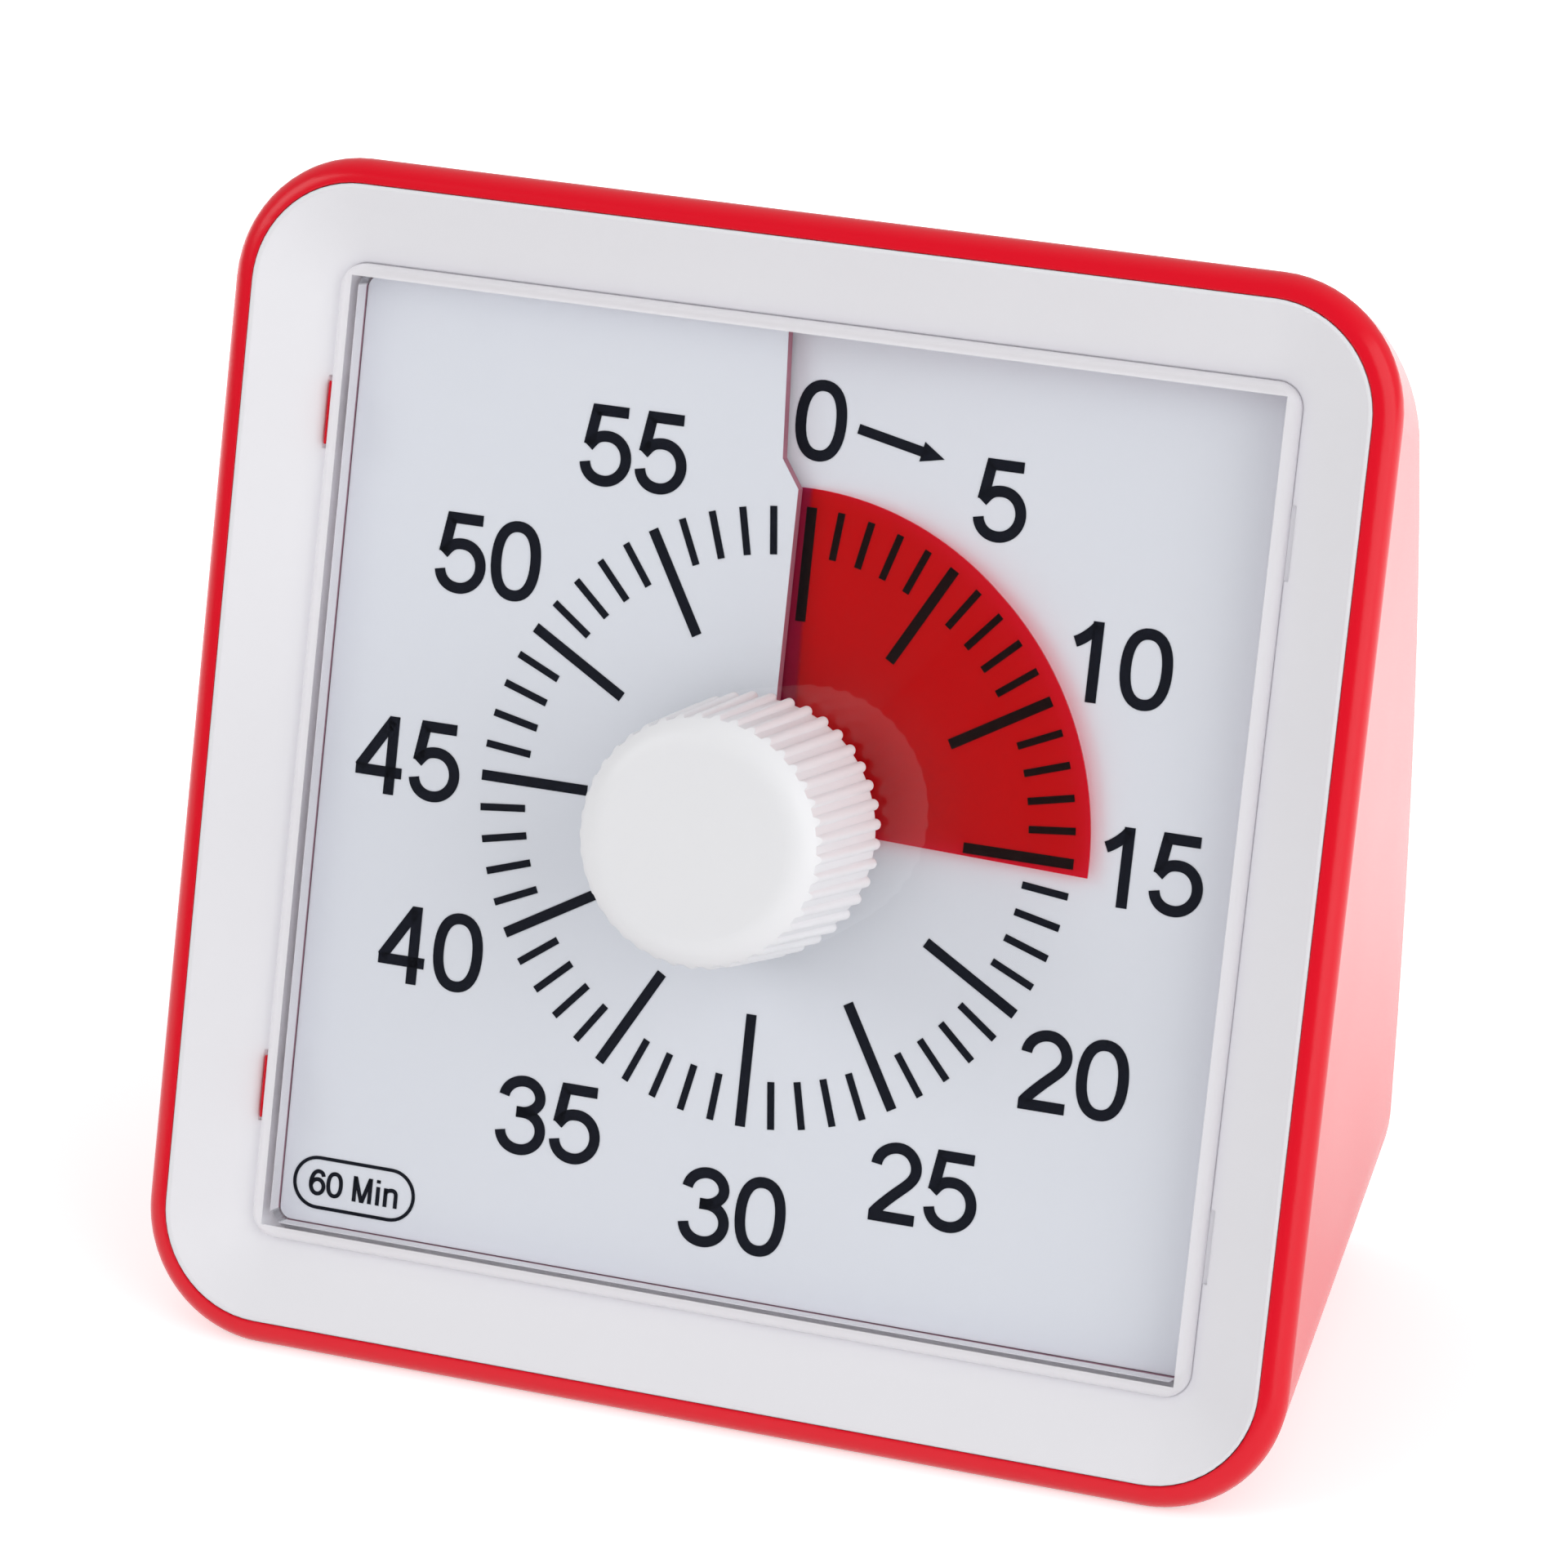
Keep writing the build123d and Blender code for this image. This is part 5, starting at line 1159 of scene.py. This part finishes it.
# %% Sky
# What a mirror sees: a dim room in front of the timer, white paper behind it.
SKY_FILL = 0.6
ROOM_FRONT, ROOM_BACK = -0.5, 0.35
ROOM_DIM, ROOM_WHITE = 0.07, 0.66
sky = bpy.data.worlds.new("sky")
bpy.context.scene.world = sky
sky.use_nodes = True
sky_fill = sky.node_tree.nodes["Background"]
sky_fill.inputs["Color"].default_value = WHITE
sky_fill.inputs["Strength"].default_value = SKY_FILL
sky_way = add_node(sky, "ShaderNodeTexCoord")
sky_parts = add_node(sky, "ShaderNodeSeparateXYZ", links={"Vector": (sky_way, "Generated")})
sky_fade = add_node(sky, "ShaderNodeMapRange", {
    "From Min": ROOM_FRONT, "From Max": ROOM_BACK, "To Min": ROOM_DIM, "To Max": ROOM_WHITE},
    {"Value": (sky_parts, "Y")})
sky_mirrored = add_node(sky, "ShaderNodeBackground", {"Color": WHITE},
                        {"Strength": (sky_fade, "Result")})
sky_seen = add_node(sky, "ShaderNodeBackground", {"Color": WHITE})
sky_gloss = any_ray(sky, ("Is Glossy Ray", "Is Transmission Ray"))
sky_below = add_node(sky, "ShaderNodeMixShader", links={
    "Fac": (sky_gloss, "Value"), 1: (sky_fill, "Background"), 2: (sky_mirrored, "Background")})
sky_rays = add_node(sky, "ShaderNodeLightPath")
sky_above = add_node(sky, "ShaderNodeMixShader", links={
    "Fac": (sky_rays, "Is Camera Ray"), 1: (sky_below, "Shader"), 2: (sky_seen, "Background")})
join(sky, sky_above, "Shader", sky.node_tree.nodes["World Output"], "Surface")
print("sky fill", SKY_FILL)

# %% Lamps
def soft_box(name, place, side, power):
    """Square lamp of a side in metres at a place in metres, turned to the dial's middle."""
    lamp = bpy.data.objects.new(name, bpy.data.lights.new(name, "AREA"))
    bpy.context.scene.collection.objects.link(lamp)
    lamp.data.size = side
    lamp.data.energy = power
    lamp.location = place
    lamp.rotation_mode = "QUATERNION"
    lamp.rotation_quaternion = (on_face(0, 0) - Vector(place)).to_track_quat("-Z", "Y")
    return lamp


key_lamp = soft_box("key_lamp", (-1.1, -0.8, 0.82), side=0.7, power=4.0)
side_lamp = soft_box("side_lamp", (0.85, -0.35, 0.4), side=1.0, power=4.9)
print("lamps:", key_lamp.data.energy, "W and", round(side_lamp.data.energy, 1), "W")

# %% View settings
bpy.context.scene.view_settings.view_transform = "Standard"
print("view transform:", bpy.context.scene.view_settings.view_transform)
